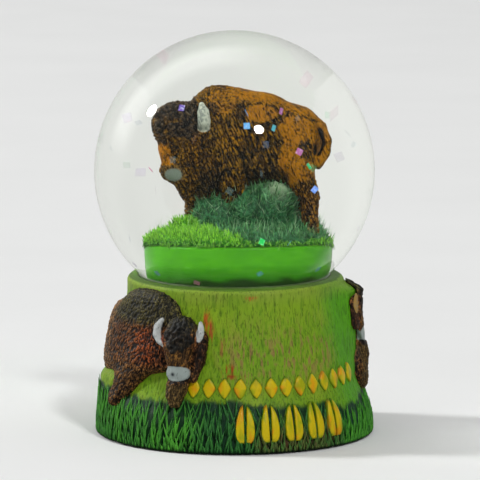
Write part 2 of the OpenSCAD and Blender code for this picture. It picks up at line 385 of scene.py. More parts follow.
# %% Clear glass
def clear_glass(name, index):
    """Glass of one refractive index, faintly warm, with the slight waves and film of blown glass."""
    material, graph, shader = new_finish(name, {
        "Base Color": (0.985, 0.992, 0.984, 1), "Transmission Weight": 1.0, "IOR": index})
    wear(graph, shader, grain(graph, 4.0), 0.0, 0.012)
    bump(graph, shader, grain(graph, 7.0, 1.0), 0.012)
    ways = graph.node("ShaderNodeLightPath", {}, {}, "Is Shadow Ray")
    passing = graph.node("ShaderNodeBsdfTransparent", {}, {"Color": (0.96, 0.97, 0.96, 1)})
    seen = graph.chosen(ways, Wire(graph, shader.outputs[0]), passing)
    graph.feed(material.node_tree.nodes["Material Output"], "Surface", seen)
    return material


glass_index = 1.5
water_index = 1.333
globe_glass.data.materials.append(clear_glass("clear_glass_outside", glass_index))
globe_glass.data.materials.append(clear_glass("clear_glass_inside", glass_index / water_index))
middles = np.array([f.center for f in globe_glass.data.polygons]) / MM
from_axis = np.hypot(middles[:, 0], middles[:, 1])
from_centre = np.hypot(from_axis, middles[:, 2] - ball_z)
in_neck = (middles[:, 2] < ball_z) & (from_axis < neck_bore + wall_t / 4)
wetted = in_neck | (from_centre < bore_r + wall_t / 4)
globe_glass.data.polygons.foreach_set("material_index", wetted.astype(int))
print(int(wetted.sum()), "faces touch the water")
settle(globe_glass, "clear_glass", "glass_globe")

# %% [markdown]
# ## Water
# The water fills the ball round the pedestal and ends at the stopper. The bending of light is already in
# the inner wall of the glass, so the water itself is a thin-skinned body with a trace of colour: a
# second bending surface a hair inside the glass would only make stray reflections.

# %% Water body
skin = 0.02
round_down = arc(0, ball_z, bore_r - skin, 90, -math.degrees(math.acos(neck_bore / bore_r)), 110)
profile = ([(0, ball_z + bore_r - skin)] + round_down[1:]
           + [(neck_bore - skin, plug_top + 0.1), (pedestal_r + 0.1, plug_top + 0.1),
              (pedestal_r + 0.1, pedestal_top + 0.02), (0, pedestal_top + 0.02)])
water = new_piece("water", *turned(profile[::-1], 192))
material, graph, shader = new_finish("water", {
    "Roughness": 0.0, "IOR": 1.0, "Alpha": 0.004, "Specular IOR Level": 0.0})
graph.feed(shader, "Base Color", ramp(graph, grain(graph, 9.0), (0.3, rgba(206, 214, 204)),
                                      (0.7, rgba(222, 228, 218))))
water.data.materials.append(material)
settle(water, "water", "liquid_fill")

# %% [markdown]
# ## Pedestal disc
# The figure stands on a moulded resin puck in bright glossy green. It is a plain turned shape, so its
# life comes from soft edges, a faint waviness of the casting and a brushed coat of enamel, with painted
# shade that darkens it towards its foot. It was glued in a little off the middle of the neck. Under
# water paint hardly shines, because water bends light nearly as much as paint does: so everything in the
# ball has a low specular level.

# %% Turned pedestal
edge = 0.8
disc_r = pedestal_r - 0.75
disc_shift = 0.7
peg_r = 5.0
peg_h = 2.2
profile = ([(0, pedestal_z - peg_h), (peg_r - 0.3, pedestal_z - peg_h), (peg_r, pedestal_z - peg_h + 0.3),
            (peg_r, pedestal_z)]
           + arc(disc_r - edge, pedestal_z + edge, edge, -90, 0, 9)
           + [(disc_r, z) for z in np.linspace(pedestal_z + 1.5, pedestal_top - 1.5, 16)]
           + arc(disc_r - edge, pedestal_top - edge, edge, 0, 90, 9) + [(0, pedestal_top)])
points, faces = turned(profile, 240)
on_disc = np.hypot(points[:, 0], points[:, 1]) > peg_r + 0.01
points[:, 0] += disc_shift * (on_disc | (points[:, 2] > pedestal_z + 1))
pedestal = new_piece("pedestal", points, faces)
material, graph, shader = new_finish("green_enamel", {
    "IOR": 1.5, "Coat Roughness": 0.08, "Specular IOR Level": 0.08})
streaks = grain(graph, 3.0, 3.0, (1, 1, 3.5))
coat = graph.mixed(ramp(graph, streaks, (0.25, rgba(60, 145, 10)), (0.75, rgba(80, 166, 20))),
                   rgba(44, 116, 5), (grain(graph, 0.7) - 0.62) * 3.0)
height = graph.node("ShaderNodeSeparateXYZ", {}, {0: graph.place()}, "Z") / MM - pedestal_z
height = height + (grain(graph, 5.0, 2.0, (1, 1, 2.5)) - 0.5) * 3.0
# Painted shade: the green enamel is painted darker towards the foot of the disc, in an uneven band.
low = graph.mixed(rgba(14, 48, 4), rgba(40, 118, 4), ((height - 3.6) * 0.8).clamped())
graph.feed(shader, "Base Color", graph.mixed(low, coat, ((height - 5.4) * 0.4).clamped()))
graph.feed(shader, "Coat Weight", 0.02 + 0.06 * grain(graph, 6.0))
wear(graph, shader, grain(graph, 1.4), 0.28, 0.42)
bump(graph, shader, streaks, 0.05)
pedestal.data.materials.append(material)
settle(pedestal, "green_resin", "pedestal_disc")

# %% [markdown]
# ## Stopper, seal, glue and felt
# These pieces were turned or poured as plain shapes, so the construction's own meshes stay and get the
# right finish: matt black rubber with a bloom, milky sealant, glue stained green by the paint under it,
# and felt with matted fibres.

# %% Finishes of the carried-over pieces
def dress(node, material):
    """Give a construction node a finish."""
    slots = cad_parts[node].data.materials
    slots.clear()
    slots.append(material)
    print(node, "is dressed in", material.name)


def mottled(name, constants, pattern, shades, rough, depth, relief=None):
    """A finish whose colour and roughness follow one pattern, over a relief of a depth in mm.

    The pattern, and the relief where it is another one, are functions of the graph.
    """
    material, graph, shader = new_finish(name, constants)
    value = pattern(graph)
    stops = [(place, rgba(*shade)) for place, shade in shades]
    graph.feed(shader, "Base Color", ramp(graph, value, *stops))
    wear(graph, shader, value, *rough)
    bump(graph, shader, relief(graph) if relief else value, depth)
    return material


def fibres(graph):
    """Matted fibres that lie both ways."""
    return (grain(graph, 0.25, 5.0, (1, 0.25, 1), 1.2) * 0.5
            + grain(graph, 0.22, 5.0, (0.25, 1, 1), 1.2) * 0.5)


dress("rubber_stopper", mottled(
    "black_rubber", {"Specular IOR Level": 0.35}, lambda graph: grain(graph, 2.2, 4.0),
    [(0.35, (22, 22, 23)), (0.7, (50, 50, 49))], (0.6, 0.85), 0.03, lambda graph: grain(graph, 0.18)))
dress("mouth_seal", mottled(
    "sealant", {"IOR": 1.41}, lambda graph: grain(graph, 1.5),
    [(0.3, (190, 194, 188)), (0.7, (214, 216, 208))], (0.25, 0.45), 0.05,
    lambda graph: grain(graph, 0.6, 3.0, warp=0.4)))
dress("felt_pad", mottled(
    "felt", {"Specular IOR Level": 0.1, "Sheen Weight": 0.4, "Sheen Roughness": 0.6}, fibres,
    [(0.35, (14, 34, 20)), (0.65, (38, 72, 42))], (0.9, 1.0), 0.12))

glue, graph, shader = new_finish("glue", {"IOR": 1.5})
cloud = grain(graph, 1.2, 4.0, warp=0.6)
bubbles = (grain(graph, 0.3) - 0.66) * 6.0
graph.feed(shader, "Base Color", graph.mixed(
    ramp(graph, cloud, (0.3, rgba(40, 60, 20)), (0.7, rgba(66, 88, 36))),
    rgba(104, 120, 66), bubbles.clamped()))
wear(graph, shader, cloud, 0.2, 0.5)
bump(graph, shader, cloud, 0.08)
for node in ("bedding_glue", "pedestal_glue"):
    dress(node, glue)

# %% [markdown]
# ## Noise, and places on the base
# Carved and brushed surfaces need the same smooth random values in the mesh and in its paint, so the
# noise is worked out here as arrays. A place on the base is an angle from the front, turning towards +X,
# and a height: the relief, the grass and the paint all use it.

# %% Smooth noise on a lattice
def noise(points, size, seed=0):
    """Smooth random value from -1 to 1 at each point; lumps are about the size in mm."""
    scaled = np.asarray(points, dtype=float) / size
    cell = np.floor(scaled).astype(np.int64)
    t = scaled - cell
    t = t * t * (3 - 2 * t)
    total = np.zeros(scaled.shape[:-1])
    for corner in itertools.product((0, 1), repeat=3):
        at = cell + corner
        mixed = (at[..., 0] * 73856093) ^ (at[..., 1] * 19349663) ^ (at[..., 2] * 83492791) ^ (seed * 9176011)
        mixed = (mixed ^ (mixed >> 13)) * 1274126177 & 0x7FFFFFFF
        mixed = (mixed ^ (mixed >> 15)) * 1103515245 & 0x7FFFFFFF
        weight = np.prod(np.where(corner, t, 1 - t), axis=-1)
        total += weight * (mixed / 0x3FFFFFFF - 1)
    return total


def rise_between(value, low, high):
    """0 below the low value, 1 above the high one, and a smooth step between."""
    t = np.clip((value - low) / (high - low), 0, 1)
    return t * t * (3 - 2 * t)


def span(value, start, full, end, fade):
    """1 where the value is past full and well below the end, 0 outside, with soft flanks."""
    return rise_between(value, start, full) * rise_between(end - value, 0, fade)


def bell(value, middle, width):
    """1 at the middle, falling off on both sides."""
    return np.exp(-((value - middle) / width) ** 2)


def blended(colours, cover, over):
    """Paint laid over an array of colours where the cover is 1."""
    return colours + np.clip(cover, 0, 1)[:, None] * (over - colours)


def even_coat(count, shade):
    """One display colour for so many points."""
    return np.tile(tone(*shade), (count, 1))


def layered(colours, *layers):
    """Coats laid on one after another, each given by its cover and its display colour."""
    for cover, shade in layers:
        colours = blended(colours, cover, tone(*shade))
    return colours


def paint_points(piece, colours, stroked=0.5):
    """Store one linear colour for each point, and in its alpha how much fine strokes break it up."""
    layer = piece.data.color_attributes.new("paint", "FLOAT_COLOR", "POINT")
    alpha = np.full(len(colours), 1.0) * stroked
    layer.data.foreach_set("color", np.column_stack([np.clip(colours, 0, 1), alpha]).ravel())


# %% Places on the base
wall_foot_r = foot_r - 1.1
skirt_proud = 1.1
right_bulge_r = 28.3
left_bulge_r = 31.1


def bare_radius(height):
    """Radius of the wall without its bulges: a cone that flares a little above the foot."""
    slope = np.clip(1 - height / (collar_z - 4), 0, None) ** 1.15
    flare = 0.9 * rise_between(14 - height, 0, 7) * rise_between(height, -3, 6)
    return collar_r + (wall_foot_r - collar_r) * slope + flare


def wall_radius(angle, height):
    """Radius of the wall, which bulges in front of the animal at the right and under the left one."""
    radius = bare_radius(height)
    right = bell(angle, 84, 13) * rise_between(height, 8, 16) * rise_between(collar_z - height, 0.6, 3.6)
    left = bell(angle, -88, 24) * span(height, 3, 10, 18, 5)
    radius = radius + np.clip(right_bulge_r - radius, 0, None) * right
    return radius + np.clip(left_bulge_r - radius, 0, None) * left


def on_base(angle, radius, height):
    """Points at angles from the front in degrees."""
    a = np.radians(angle)
    return np.stack([radius * np.sin(a), -radius * np.cos(a), height + 0 * a], -1)


tip_angles = [-180, -80, -48, -34, -25, 0, 8, 48, 58, 70, 85, 110, 180]
tip_heights = [12.5, 13.1, 12.3, 12.4, 12.9, 12.9, 11.8, 11.2, 9.4, 10.0, 11.5, 12.4, 12.5]


def tip_line(angle):
    """Height that the tips of the grass skirt reach."""
    return np.interp((np.asarray(angle) + 180) % 360 - 180, tip_angles, tip_heights)


print("wall radius at the collar and foot:", wall_radius(0, collar_z), wall_radius(0, foot_z))

# %% [markdown]
# ## Wall of the base
# The base is cast resin. Its wall is carved with fine upright strokes for a field of grass, and washed
# and dry-brushed by hand: the wash stays in the grooves and the brush touches the ridges. So one noise,
# squeezed upwards into strokes, both moves the surface and chooses the paint. Inside the rim the casting
# is plain: a seat for the ball, a well for the neck, and a recess for the felt underneath.

# %% Wall profile and grooves
columns = 1040
wall_rows = 72
groove_depth = 0.13
angles = (np.arange(columns) * 360 / columns)[None, :] - 180
felt_room = felt_r + 0.2


def ring_rows(places):
    """Rows of radius and height that are the same all round."""
    return [np.full((1, columns), r) for r, z in places], [z for r, z in places]


foot_edge = 0.5
under, under_z = ring_rows([(0, felt_top), (felt_room * 0.5, felt_top), (felt_room, felt_top),
                            (felt_room, foot_z)])
foot_places = arc(-foot_edge, foot_z + foot_edge, foot_edge, -90, 0, 5)
levels = np.linspace(foot_z + foot_edge, collar_z - rim_round, wall_rows)[1:]
rim_places = arc(-rim_round, collar_z - rim_round, rim_round, 0, 90, 8)[1:]
seat, seat_zs = ring_rows(
    [(seat_r + 0.25, collar_z), (seat_r, collar_z - 0.2)]
    + [(r, ball_z - math.sqrt((ball_r + 0.3) ** 2 - r * r)) for r in np.linspace(seat_r, well_r, 4)[1:]]
    + [(well_r, z) for z in np.linspace(collar_z - 4, well_floor, 4)] + [(0, well_floor)])


def skirt_ledge(angle, height):
    """How far the roots of the grass stand out from the wall."""
    uneven = 0.9 * noise(on_base(angle, 30.0, 0), 2.2, 4)
    return skirt_proud * 0.25 * rise_between(tip_line(angle) - 2.2 + uneven - height, 0, 1.6)


def wall_surface(angle, height):
    """Radius of the carved wall, and how high each point stands on its stroke from -1 to 1."""
    radius = wall_radius(angle, height) + skirt_ledge(angle, height)
    place = on_base(angle, radius, height)
    squeezed = place * (1, 1, 0.16)
    stroke = 0.75 * noise(squeezed, 0.36, 1) + 0.25 * noise(squeezed, 0.8, 2) + 0.2 * noise(place, 0.4, 3)
    calm = rise_between(collar_z - height, 1.5, 6)
    return radius + groove_depth * stroke * calm, stroke


grid_a, grid_z = np.meshgrid(angles[0], levels)
wall_r, stroke = wall_surface(grid_a, grid_z)
foot_rows = [np.minimum(wall_r[:1] + r, foot_r) for r, z in foot_places]
rim_rows = [wall_radius(angles, np.array([collar_z - rim_round])) + r for r, z in rim_places]
rows = under + foot_rows + list(wall_r[:, None, :]) + rim_rows + seat
row_z = under_z + [z for r, z in foot_places] + list(levels) + [z for r, z in rim_places] + seat_zs
wall_r = np.minimum(np.concatenate([np.broadcast_to(r, (1, columns)) for r in rows]), foot_r)
grid_z = np.repeat(np.array(row_z)[:, None], columns, 1)
places = on_base(np.broadcast_to(angles, wall_r.shape), wall_r, grid_z)
index = np.arange(wall_r.size).reshape(wall_r.shape)
index[0] = index[0, 0]
index[-1] = index[-1, 0]
base_faces = joined_grid(index)
used, renumbered = np.unique(base_faces, return_inverse=True)
base_wall = new_piece("base_wall", places.reshape(-1, 3)[used], renumbered.reshape(-1, 3))
print("base wall:", len(used), "points")

# %% Paint of the wall
strokes = np.zeros(wall_r.shape)
first = len(under) + len(foot_rows)
strokes[first:first + len(levels)] = stroke
flat_a = np.broadcast_to(angles, wall_r.shape).ravel()[used]
flat_z = grid_z.ravel()[used]
flat_s = strokes.ravel()[used]
flat_r = wall_r.ravel()[used]
point = places.reshape(-1, 3)[used]
patch = noise(point, 5.0, 11) + 0.5 * noise(point, 2.0, 12)
fine = noise(point * (1, 1, 0.2), 0.3, 13)
shaded_side = span(flat_a, 44, 66, 120, 10)
dusty = bell(flat_z, 21.5, 6.0) * span(flat_a, -16, 6, 64, 16)
dusty = dusty + 0.4 * bell(flat_z, 24, 8) * (np.abs(flat_a - 25) > 60)
colours = layered(
    even_coat(len(used), (104, 144, 18)),
    (0.5 + 0.5 * patch, (124, 156, 24)),
    (shaded_side, (78, 146, 14)),
    (dusty * rise_between(flat_s + 0.35 * patch + 0.3 * fine, -0.1, 0.4) * 0.9, (134, 104, 62)),
    (rise_between(flat_z, collar_z - 5.0, collar_z - 1.0) * (0.5 + 0.3 * patch), (126, 146, 50)),
    (rise_between(-flat_s, 0.1, 0.6) * 0.45, (52, 98, 10)))
print("field painted")

# %% Smears, rim and skirt ground
smears = [(-14.2, 29.9, 1.0, 2.6, (176, 70, 24)), (-11.5, 27.2, 0.8, 2.2, (160, 62, 30)),
          (-2.8, 18.8, 1.6, 1.5, (150, 34, 12)), (-0.5, 17.4, 2.6, 0.5, (140, 30, 10)),
          (9.0, 35.0, 1.5, 0.5, (166, 66, 30)), (-6.0, 24.0, 0.7, 2.4, (140, 96, 44))]
for angle, height, width, tall, shade in smears:
    spot = bell((flat_a - angle) * math.pi / 180 * flat_r, 0, width) * bell(flat_z, height, tall)
    rough_spot = spot * (0.75 + 0.9 * fine + 0.3 * patch) + 0.25 * flat_s * spot
    colours = layered(colours, (rise_between(rough_spot, 0.15, 0.8) * 0.85, shade))
on_top = (flat_z > collar_z - 0.35) & (flat_r < collar_r - 0.2)
in_well = (flat_r < seat_r + 0.02) & (flat_z > felt_top + 1)
on_underside = (flat_z <= felt_top) * (flat_r <= felt_room)
ground = rise_between(tip_line(flat_a) - 0.5 - flat_z + 0.8 * noise(point * (1, 1, 0.4), 1.2, 14), 0, 1.2)
low_brown = bell(flat_z, 2.6, 2.0) * span(flat_a, 4, 14, 52, 10)
colours = layered(
    colours, (on_top * 0.85, (58, 92, 22)), (in_well * 1.0, (58, 70, 30)), (on_underside * 0.8, (40, 70, 30)),
    (ground, (14, 50, 20)), (ground * (0.35 + 0.4 * patch), (18, 62, 40)),
    (low_brown * (0.6 + 0.5 * patch), (88, 58, 36)))
paint_points(base_wall, colours)

# %% [markdown]
# Hand paint is never one coat. The painted colour comes from the points, a fine noise breaks it up, and
# roughness and a shallow bump follow the same grain, so that the satin sheen of the acrylic is uneven.

# %% Painted resin
def painted_resin(name, size, depth, rough, break_up=0.22, specular=0.2, strokes=None):
    """Acrylic paint on cast resin: colour from the points, broken up by a grain of a size in mm.

    Strokes, if any, are given as a width in mm, a stretch, a tilt in degrees and a depth of shade. They
    leave the dark wash bare between them, more so where the alpha of the paint is high.
    """
    material, graph, shader = new_finish(name, {"Specular IOR Level": specular})
    brushed = graph.stored("paint", "Color")
    speck = grain(graph, size, 3.0, (1, 1, 0.5))
    cloud = grain(graph, size * 6)
    shade = 1 - break_up + 2 * break_up * (speck * 0.7 + cloud * 0.3)
    raised = speck
    if strokes:
        width, stretch, tilt, dark = strokes
        raised = grain(graph, width, 2.0, (1, 1, stretch), 0.5, tilt)
        gaps = (0.34 + 0.22 * brushed.output("Alpha") - raised) * 14
        shade = shade * (1 - dark * gaps.clamped())
    graph.feed(shader, "Base Color", graph.scaled(brushed, shade))
    wear(graph, shader, speck * 0.6 + cloud * 0.4, *rough)
    bump(graph, shader, raised, depth)
    return material


base_wall.data.materials.append(painted_resin(
    "field_paint", size=0.35, depth=0.06, rough=(0.42, 0.68), strokes=(0.28, 0.14, 0.0, 0.42)))
settle(base_wall, "painted_resin", "resin_base")

# %% [markdown]
# ## Bison
# The figure is a hand-sculpted bison with a hump, a woolly mane and a beard. A sculptor builds one from
# lumps of clay that are smoothed into each other, and the script does the same: each lump is a distance
# formula, neighbouring lumps are joined with a soft seam, and a net of quads is drawn where the sum is
# zero. That gives one closed skin, however the lumps overlap.

# %% Lumps of clay
def egg(place, centre, radii):
    """Distance to an ellipsoid, negative inside."""
    offset = place - np.array(centre, dtype=np.float32)
    radii = np.array(radii, dtype=np.float32)
    outer = np.sqrt(np.sum((offset / radii) ** 2, axis=-1))
    slope = np.sqrt(np.sum((offset / radii ** 2) ** 2, axis=-1))
    return outer * (outer - 1) / np.maximum(slope, 1e-6)


def limb(place, *knots):
    """Distance to a chain of tapering rods through knots of (x, y, z, radius)."""
    nearest = None
    for start, end in zip(knots, knots[1:]):
        a, b = np.array(start[:3], dtype=np.float32), np.array(end[:3], dtype=np.float32)
        offset = place - a
        share = np.clip(offset @ (b - a) / np.dot(b - a, b - a), 0, 1)
        gap = np.sqrt(np.sum((offset - share[..., None] * (b - a)) ** 2, axis=-1))
        gap -= start[3] + share * (end[3] - start[3])
        nearest = gap if nearest is None else np.minimum(nearest, gap)
    return nearest


def join(seam, *lumps):
    """Lumps united with a soft seam of a width."""
    whole = lumps[0]
    for lump in lumps[1:]:
        near = np.clip(1 - np.abs(whole - lump) / seam, 0, 1)
        whole = np.minimum(whole, lump) - near * near * seam / 4
    return whole


def eggs(place, seam, *sizes):
    """Ellipsoids of (x, y, z, radius x, y, z), united with a soft seam."""
    return join(seam, *(egg(place, size[:3], size[3:]) for size in sizes))


# %% Net over a form
def net(form, low, high, step):
    """Points and quads of the surface where a form is zero, one point to each crossed cell."""
    axes = [np.arange(a, b + step, step, dtype=np.float32) for a, b in zip(low, high)]
    value = np.stack([form(np.stack(np.broadcast_arrays(x, *np.meshgrid(axes[1], axes[2], indexing="ij")), -1)
                           .astype(np.float32)) for x in axes[0]])
    inside = value < 0
    corners = [np.array(c) for c in itertools.product((0, 1), repeat=3)]
    cells = np.array(value.shape) - 1

    def cut(array, corner):
        return array[tuple(slice(c, c + n) for c, n in zip(corner, cells))]

    counts = sum(cut(inside, c).astype(np.int8) for c in corners)
    where = np.argwhere((counts > 0) & (counts < 8))
    number = np.full(cells, -1, dtype=np.int64)
    number[tuple(where.T)] = np.arange(len(where))
    total, crossings = np.zeros((len(where), 3)), np.zeros(len(where))
    for first, second in itertools.combinations(corners, 2):
        if abs(second - first).sum() == 1:
            a = value[tuple((where + first).T)]
            b = value[tuple((where + second).T)]
            crossed = (a < 0) != (b < 0)
            share = np.where(crossed, a / np.where(crossed, a - b, 1), 0)
            total += crossed[:, None] * (first + share[:, None] * (second - first))
            crossings += crossed
    points = np.array([a[0] for a in axes]) + step * (where + total / crossings[:, None])
    quads = []
    for axis in range(3):
        along, side, up = (np.eye(3, dtype=int)[(axis + k) % 3] for k in range(3))
        start = inside[tuple(slice(0, n) if along[k] else slice(1, n) for k, n in enumerate(cells))]
        end = inside[tuple(slice(1, n + 1) if along[k] else slice(1, n) for k, n in enumerate(cells))]
        for leaving in (True, False):
            edge = np.argwhere((start == leaving) & (end != leaving)) + (1 - along)
            ring = [number[tuple((edge - shift).T)] for shift in (side + up, up, 0 * up, side)]
            quads.append(np.stack(ring if leaving else ring[::-1], -1))
    return points, np.concatenate(quads)


# %% [markdown]
# ## Hair
# The mane and coat are combed in strokes of a modelling tool. Each stroke is a short tapering ridge that
# starts at a random point, follows the lie of the coat, and may curl. Where strokes overlap the later
# one cuts into the earlier, as the tool does. The same ridges lift the surface and later catch the
# dry-brushed paint.

# %% Combing locks into a surface
def point_normals(piece):
    """Unit normals of a piece's points."""
    flat = np.zeros(3 * len(piece.data.vertices))
    piece.data.vertex_normals.foreach_get("vector", flat)
    return flat.reshape(-1, 3)


def combed(points, normals, allowed, count, lie, jitter, length, width, curl, seed):
    """Height from 0 to 1 of overlapping locks of hair at each point.

    The lie gives each lock its way, jitter turns it by chance, and curl bows it; sizes are in mm.
    """
    chance = np.random.default_rng(seed)
    tree = kdtree.KDTree(len(points))
    for i, point in enumerate(points):
        tree.insert(point, i)
    tree.balance()
    roots = chance.choice(np.flatnonzero(allowed), count)
    ways = lie(points[roots])
    ways = ways - np.sum(ways * normals[roots], axis=1)[:, None] * normals[roots]
    ways /= np.maximum(np.linalg.norm(ways, axis=1), 1e-6)[:, None]
    sides = np.cross(normals[roots], ways)
    turns = chance.normal(0, jitter, count)[:, None]
    ways, sides = ways * np.cos(turns) + sides * np.sin(turns), sides * np.cos(turns) - ways * np.sin(turns)
    longs = length * chance.uniform(0.6, 1.3, count)
    wides = width * chance.uniform(0.75, 1.25, count)
    highs = chance.uniform(0.55, 1.0, count)
    curls = chance.normal(0, curl, count)
    height = np.zeros(len(points))
    for root, way, side, long, wide, high, bow in zip(points[roots], ways, sides, longs, wides, highs, curls):
        near = [i for _, i, _ in tree.find_range(root + way * long / 2, long / 2 + wide)]
        offset = points[near] - root
        u = offset @ way / long
        v = (offset @ side - bow * long * u * (1 - u)) / (wide * (1.25 - 0.75 * u))
        ridge = high * (1 - v * v) * np.clip(7 * u, 0, 1) * np.clip(3 * (1 - u), 0, 1)
        height[near] = np.where((np.abs(v) < 1) & (u > 0) & (u < 1), ridge, height[near])
    return height


# %% Form of the bison
ground_z = pedestal_top


def mirrored(knots):
    """The same knots on the far side, a little lower."""
    return [(x, -y, z - 1.3, r) for x, y, z, r in knots]


near_horn = [(-5.6, -4.2, 21.8, 0.9), (-5.6, -5.0, 23.2, 1.2), (-5.8, -4.9, 24.9, 1.1),
             (-6.1, -4.3, 26.2, 0.55)]
near_fore = [(-0.9, -2.9, 14.0, 2.5), (-0.3, -3.1, 10.4, 1.9), (-0.9, -2.9, 7.8, 1.15),
             (-1.2, -2.9, 4.4, 1.0)]
far_fore = [(-6.3, 2.2, 12.0, 2.0), (-7.0, 2.2, 7.8, 1.1), (-7.2, 2.2, 3.6, 1.1)]
near_hind = [(11.3, -2.6, 14.6, 2.8), (12.2, -2.7, 11.6, 2.2), (13.6, -2.7, 9.2, 1.6),
             (13.4, -2.7, 6.4, 1.35), (13.9, -2.7, 2.6, 1.2)]
far_hind = [(x - 1.6, -y, z, r) for x, y, z, r in near_hind]
tail = [(12.8, -0.4, 23.2, 1.1), (15.8, -1.4, 21.6, 0.95), (16.9, -2.2, 19.0, 0.85),
        (16.5, -2.4, 16.8, 0.9), (15.0, -2.4, 15.0, 1.0)]
tail_gap = [(14.6, -3.2, 22.6, 0.45), (15.6, -3.1, 20.8, 0.75), (15.7, -3.0, 18.8, 0.8),
            (15.1, -3.1, 17.2, 0.6)]


def bison_form(place):
    """The whole animal, standing at the origin of its own heights."""
    trunk = eggs(
        place, 1.4,
        (-2.6, 0, 22.2, 5.8, 4.5, 6.3), (4.2, 0, 20.9, 7.6, 4.3, 6.5), (0.8, 0, 22.4, 4.4, 4.2, 5.5),
        (-4.6, -0.8, 11.6, 3.0, 3.0, 3.4), (10.8, 0, 19.2, 4.9, 4.2, 5.9), (3.0, 0, 15.6, 7.6, 4.1, 4.6),
        (-4.6, 0, 15.2, 4.9, 4.2, 5.6), (8.4, 0, 14.0, 3.2, 3.4, 3.4))
    haunch = eggs(place, 1.0, (11.4, -2.5, 15.6, 3.3, 2.3, 4.6), (10.4, 2.5, 15.6, 3.3, 2.3, 4.6))
    shoulders = eggs(place, 1.0, (-1.4, -3.0, 16.2, 3.4, 2.1, 5.6), (-2.4, 3.0, 16.2, 3.4, 2.1, 5.6))
    mane = eggs(place, 1.0, (-6.6, -0.2, 18.6, 3.9, 4.6, 6.2), (-7.8, -1.2, 13.4, 2.8, 2.8, 3.6))
    face = join(0.8, egg(place, (-10.5, -1.6, 18.6), (3.0, 3.1, 3.8)),
                limb(place, (-11.2, -1.9, 17.6, 2.4), (-11.0, -2.2, 14.4, 1.9)),
                egg(place, (-10.8, -2.4, 13.4), (2.25, 1.7, 1.75)))
    crown = eggs(place, 1.2, (-11.2, -1.5, 21.8, 3.3, 3.5, 3.7), (-8.9, -1.2, 22.4, 3.0, 3.4, 3.1))
    ear = egg(place, (-5.0, -4.5, 20.7), (1.7, 0.7, 0.7))
    beard = limb(place, (-9.4, -1.4, 12.2, 1.7), (-8.5, -1.3, 10.0, 1.1), (-7.8, -1.2, 8.2, 0.7))
    head = join(1.0, face, crown, beard, ear)
    torso = join(1.1, trunk, haunch, shoulders, mane)
    legs = [limb(place, *leg) for leg in (near_fore, far_fore, near_hind, far_hind)]
    whole = join(0.7, torso, head, *legs)
    whole = join(0.35, whole, limb(place, *tail), limb(place, *near_horn), limb(place, *mirrored(near_horn)))
    return np.maximum(whole, -limb(place, *tail_gap))


bison_cell = 0.17
points, quads = net(bison_form, (-15.5, -7, 2.2), (18.4, 7, 29.6), bison_cell)
bison = new_piece("bison", points + (0, 0, ground_z), quads)
print("bison net:", len(points), "points,", 2 * len(quads), "triangles")

# %% Coat of the bison
normals = point_normals(bison)
x, y, z = points.T


def patch_of(across, up, wide, tall):
    """1 well inside an oval seen from the side, 0 outside it."""
    return rise_between(1 - ((x - across) / wide) ** 2 - ((z - up) / tall) ** 2, 0, 0.45)


def patches(*ovals):
    """The strongest of several ovals, each given as its strength and its patch."""
    return np.maximum.reduce([strength * patch_of(*oval) for strength, *oval in ovals])


horns = rise_between(0.25 - join(0.1, limb(points, *near_horn), limb(points, *mirrored(near_horn))), 0, 0.15)
horns = horns * rise_between(np.abs(y), 3.7, 4.1)
muzzle_egg = egg(points, (-11.0, -3.4, 13.1), (1.45, 1.5, 1.15))
muzzle = rise_between(0.3 - muzzle_egg, 0, 0.3)
tufts = noise(points, 0.8, 44)
crown = eggs(points, 0.5, (-11.2, -1.5, 22.2, 3.5, 3.7, 3.9), (-8.4, -1.4, 22.8, 3.6, 4.4, 3.4))
crown = rise_between(0.7 + 0.9 * tufts - crown, 0, 0.8)
face_front = rise_between(-11.5 + 1.2 * tufts - x, 0, 1.5)
face_front = face_front * span(z, 14.2, 15.2, 19.2, 1)
woolly = np.maximum(rise_between(-3.2 - x + 0.25 * (z - 16), 0, 2.0), crown)
back_line = rise_between(normals[:, 2], 0.5, 0.8) * rise_between(x, -4.5, 2) * (1 - crown)
bare = np.maximum.reduce([back_line, face_front, patches(
    (1.0, 4.9, 24.3, 3.3, 1.7), (0.6, -2.2, 26.4, 3.0, 2.2), (1.0, 11.2, 21.2, 3.6, 3.0),
    (1.0, 10.4, 15.6, 2.4, 5.0), (1.0, 12.6, 14.0, 2.4, 2.4), (1.0, 15.8, 18.6, 2.0, 5.0))])
shape_noise = noise(points, 2.2, 41)


def coat_lie(place):
    """The coat falls back and down on the flank, and straight down on the mane, the legs and the face."""
    back = rise_between(place[:, 0], -5, 1)[:, None] * rise_between(place[:, 2], 9, 13)[:, None]
    return back * np.array([0.42, 0, -0.9]) + (1 - back) * np.array([-0.2, 0, -0.95])


short_locks = 3200
curly_locks = 3400
on_coat = horns < 0.1
short_coat = combed(points, normals, (woolly < 0.6) & on_coat, short_locks, coat_lie,
                    jitter=0.18, length=2.1, width=0.3, curl=0.15, seed=51)
curls = combed(points, normals, (woolly > 0.2) & on_coat & (muzzle < 0.3), curly_locks, coat_lie,
               jitter=0.85, length=1.4, width=0.3, curl=0.9, seed=52)
hair = np.maximum(short_coat, curls)
soft = np.clip(1 - 0.75 * bare - 0.8 * muzzle - horns, 0.04, 1)
lift = (0.4 + 0.3 * crown) * hair * soft + (0.10 * shape_noise + 0.2 * tufts * crown) * (1 - horns)
move_points(bison, points + normals * lift[:, None] + (0, 0, ground_z))
print("coat of", short_locks + curly_locks, "locks, highest", round(float(lift.max()), 2), "mm")

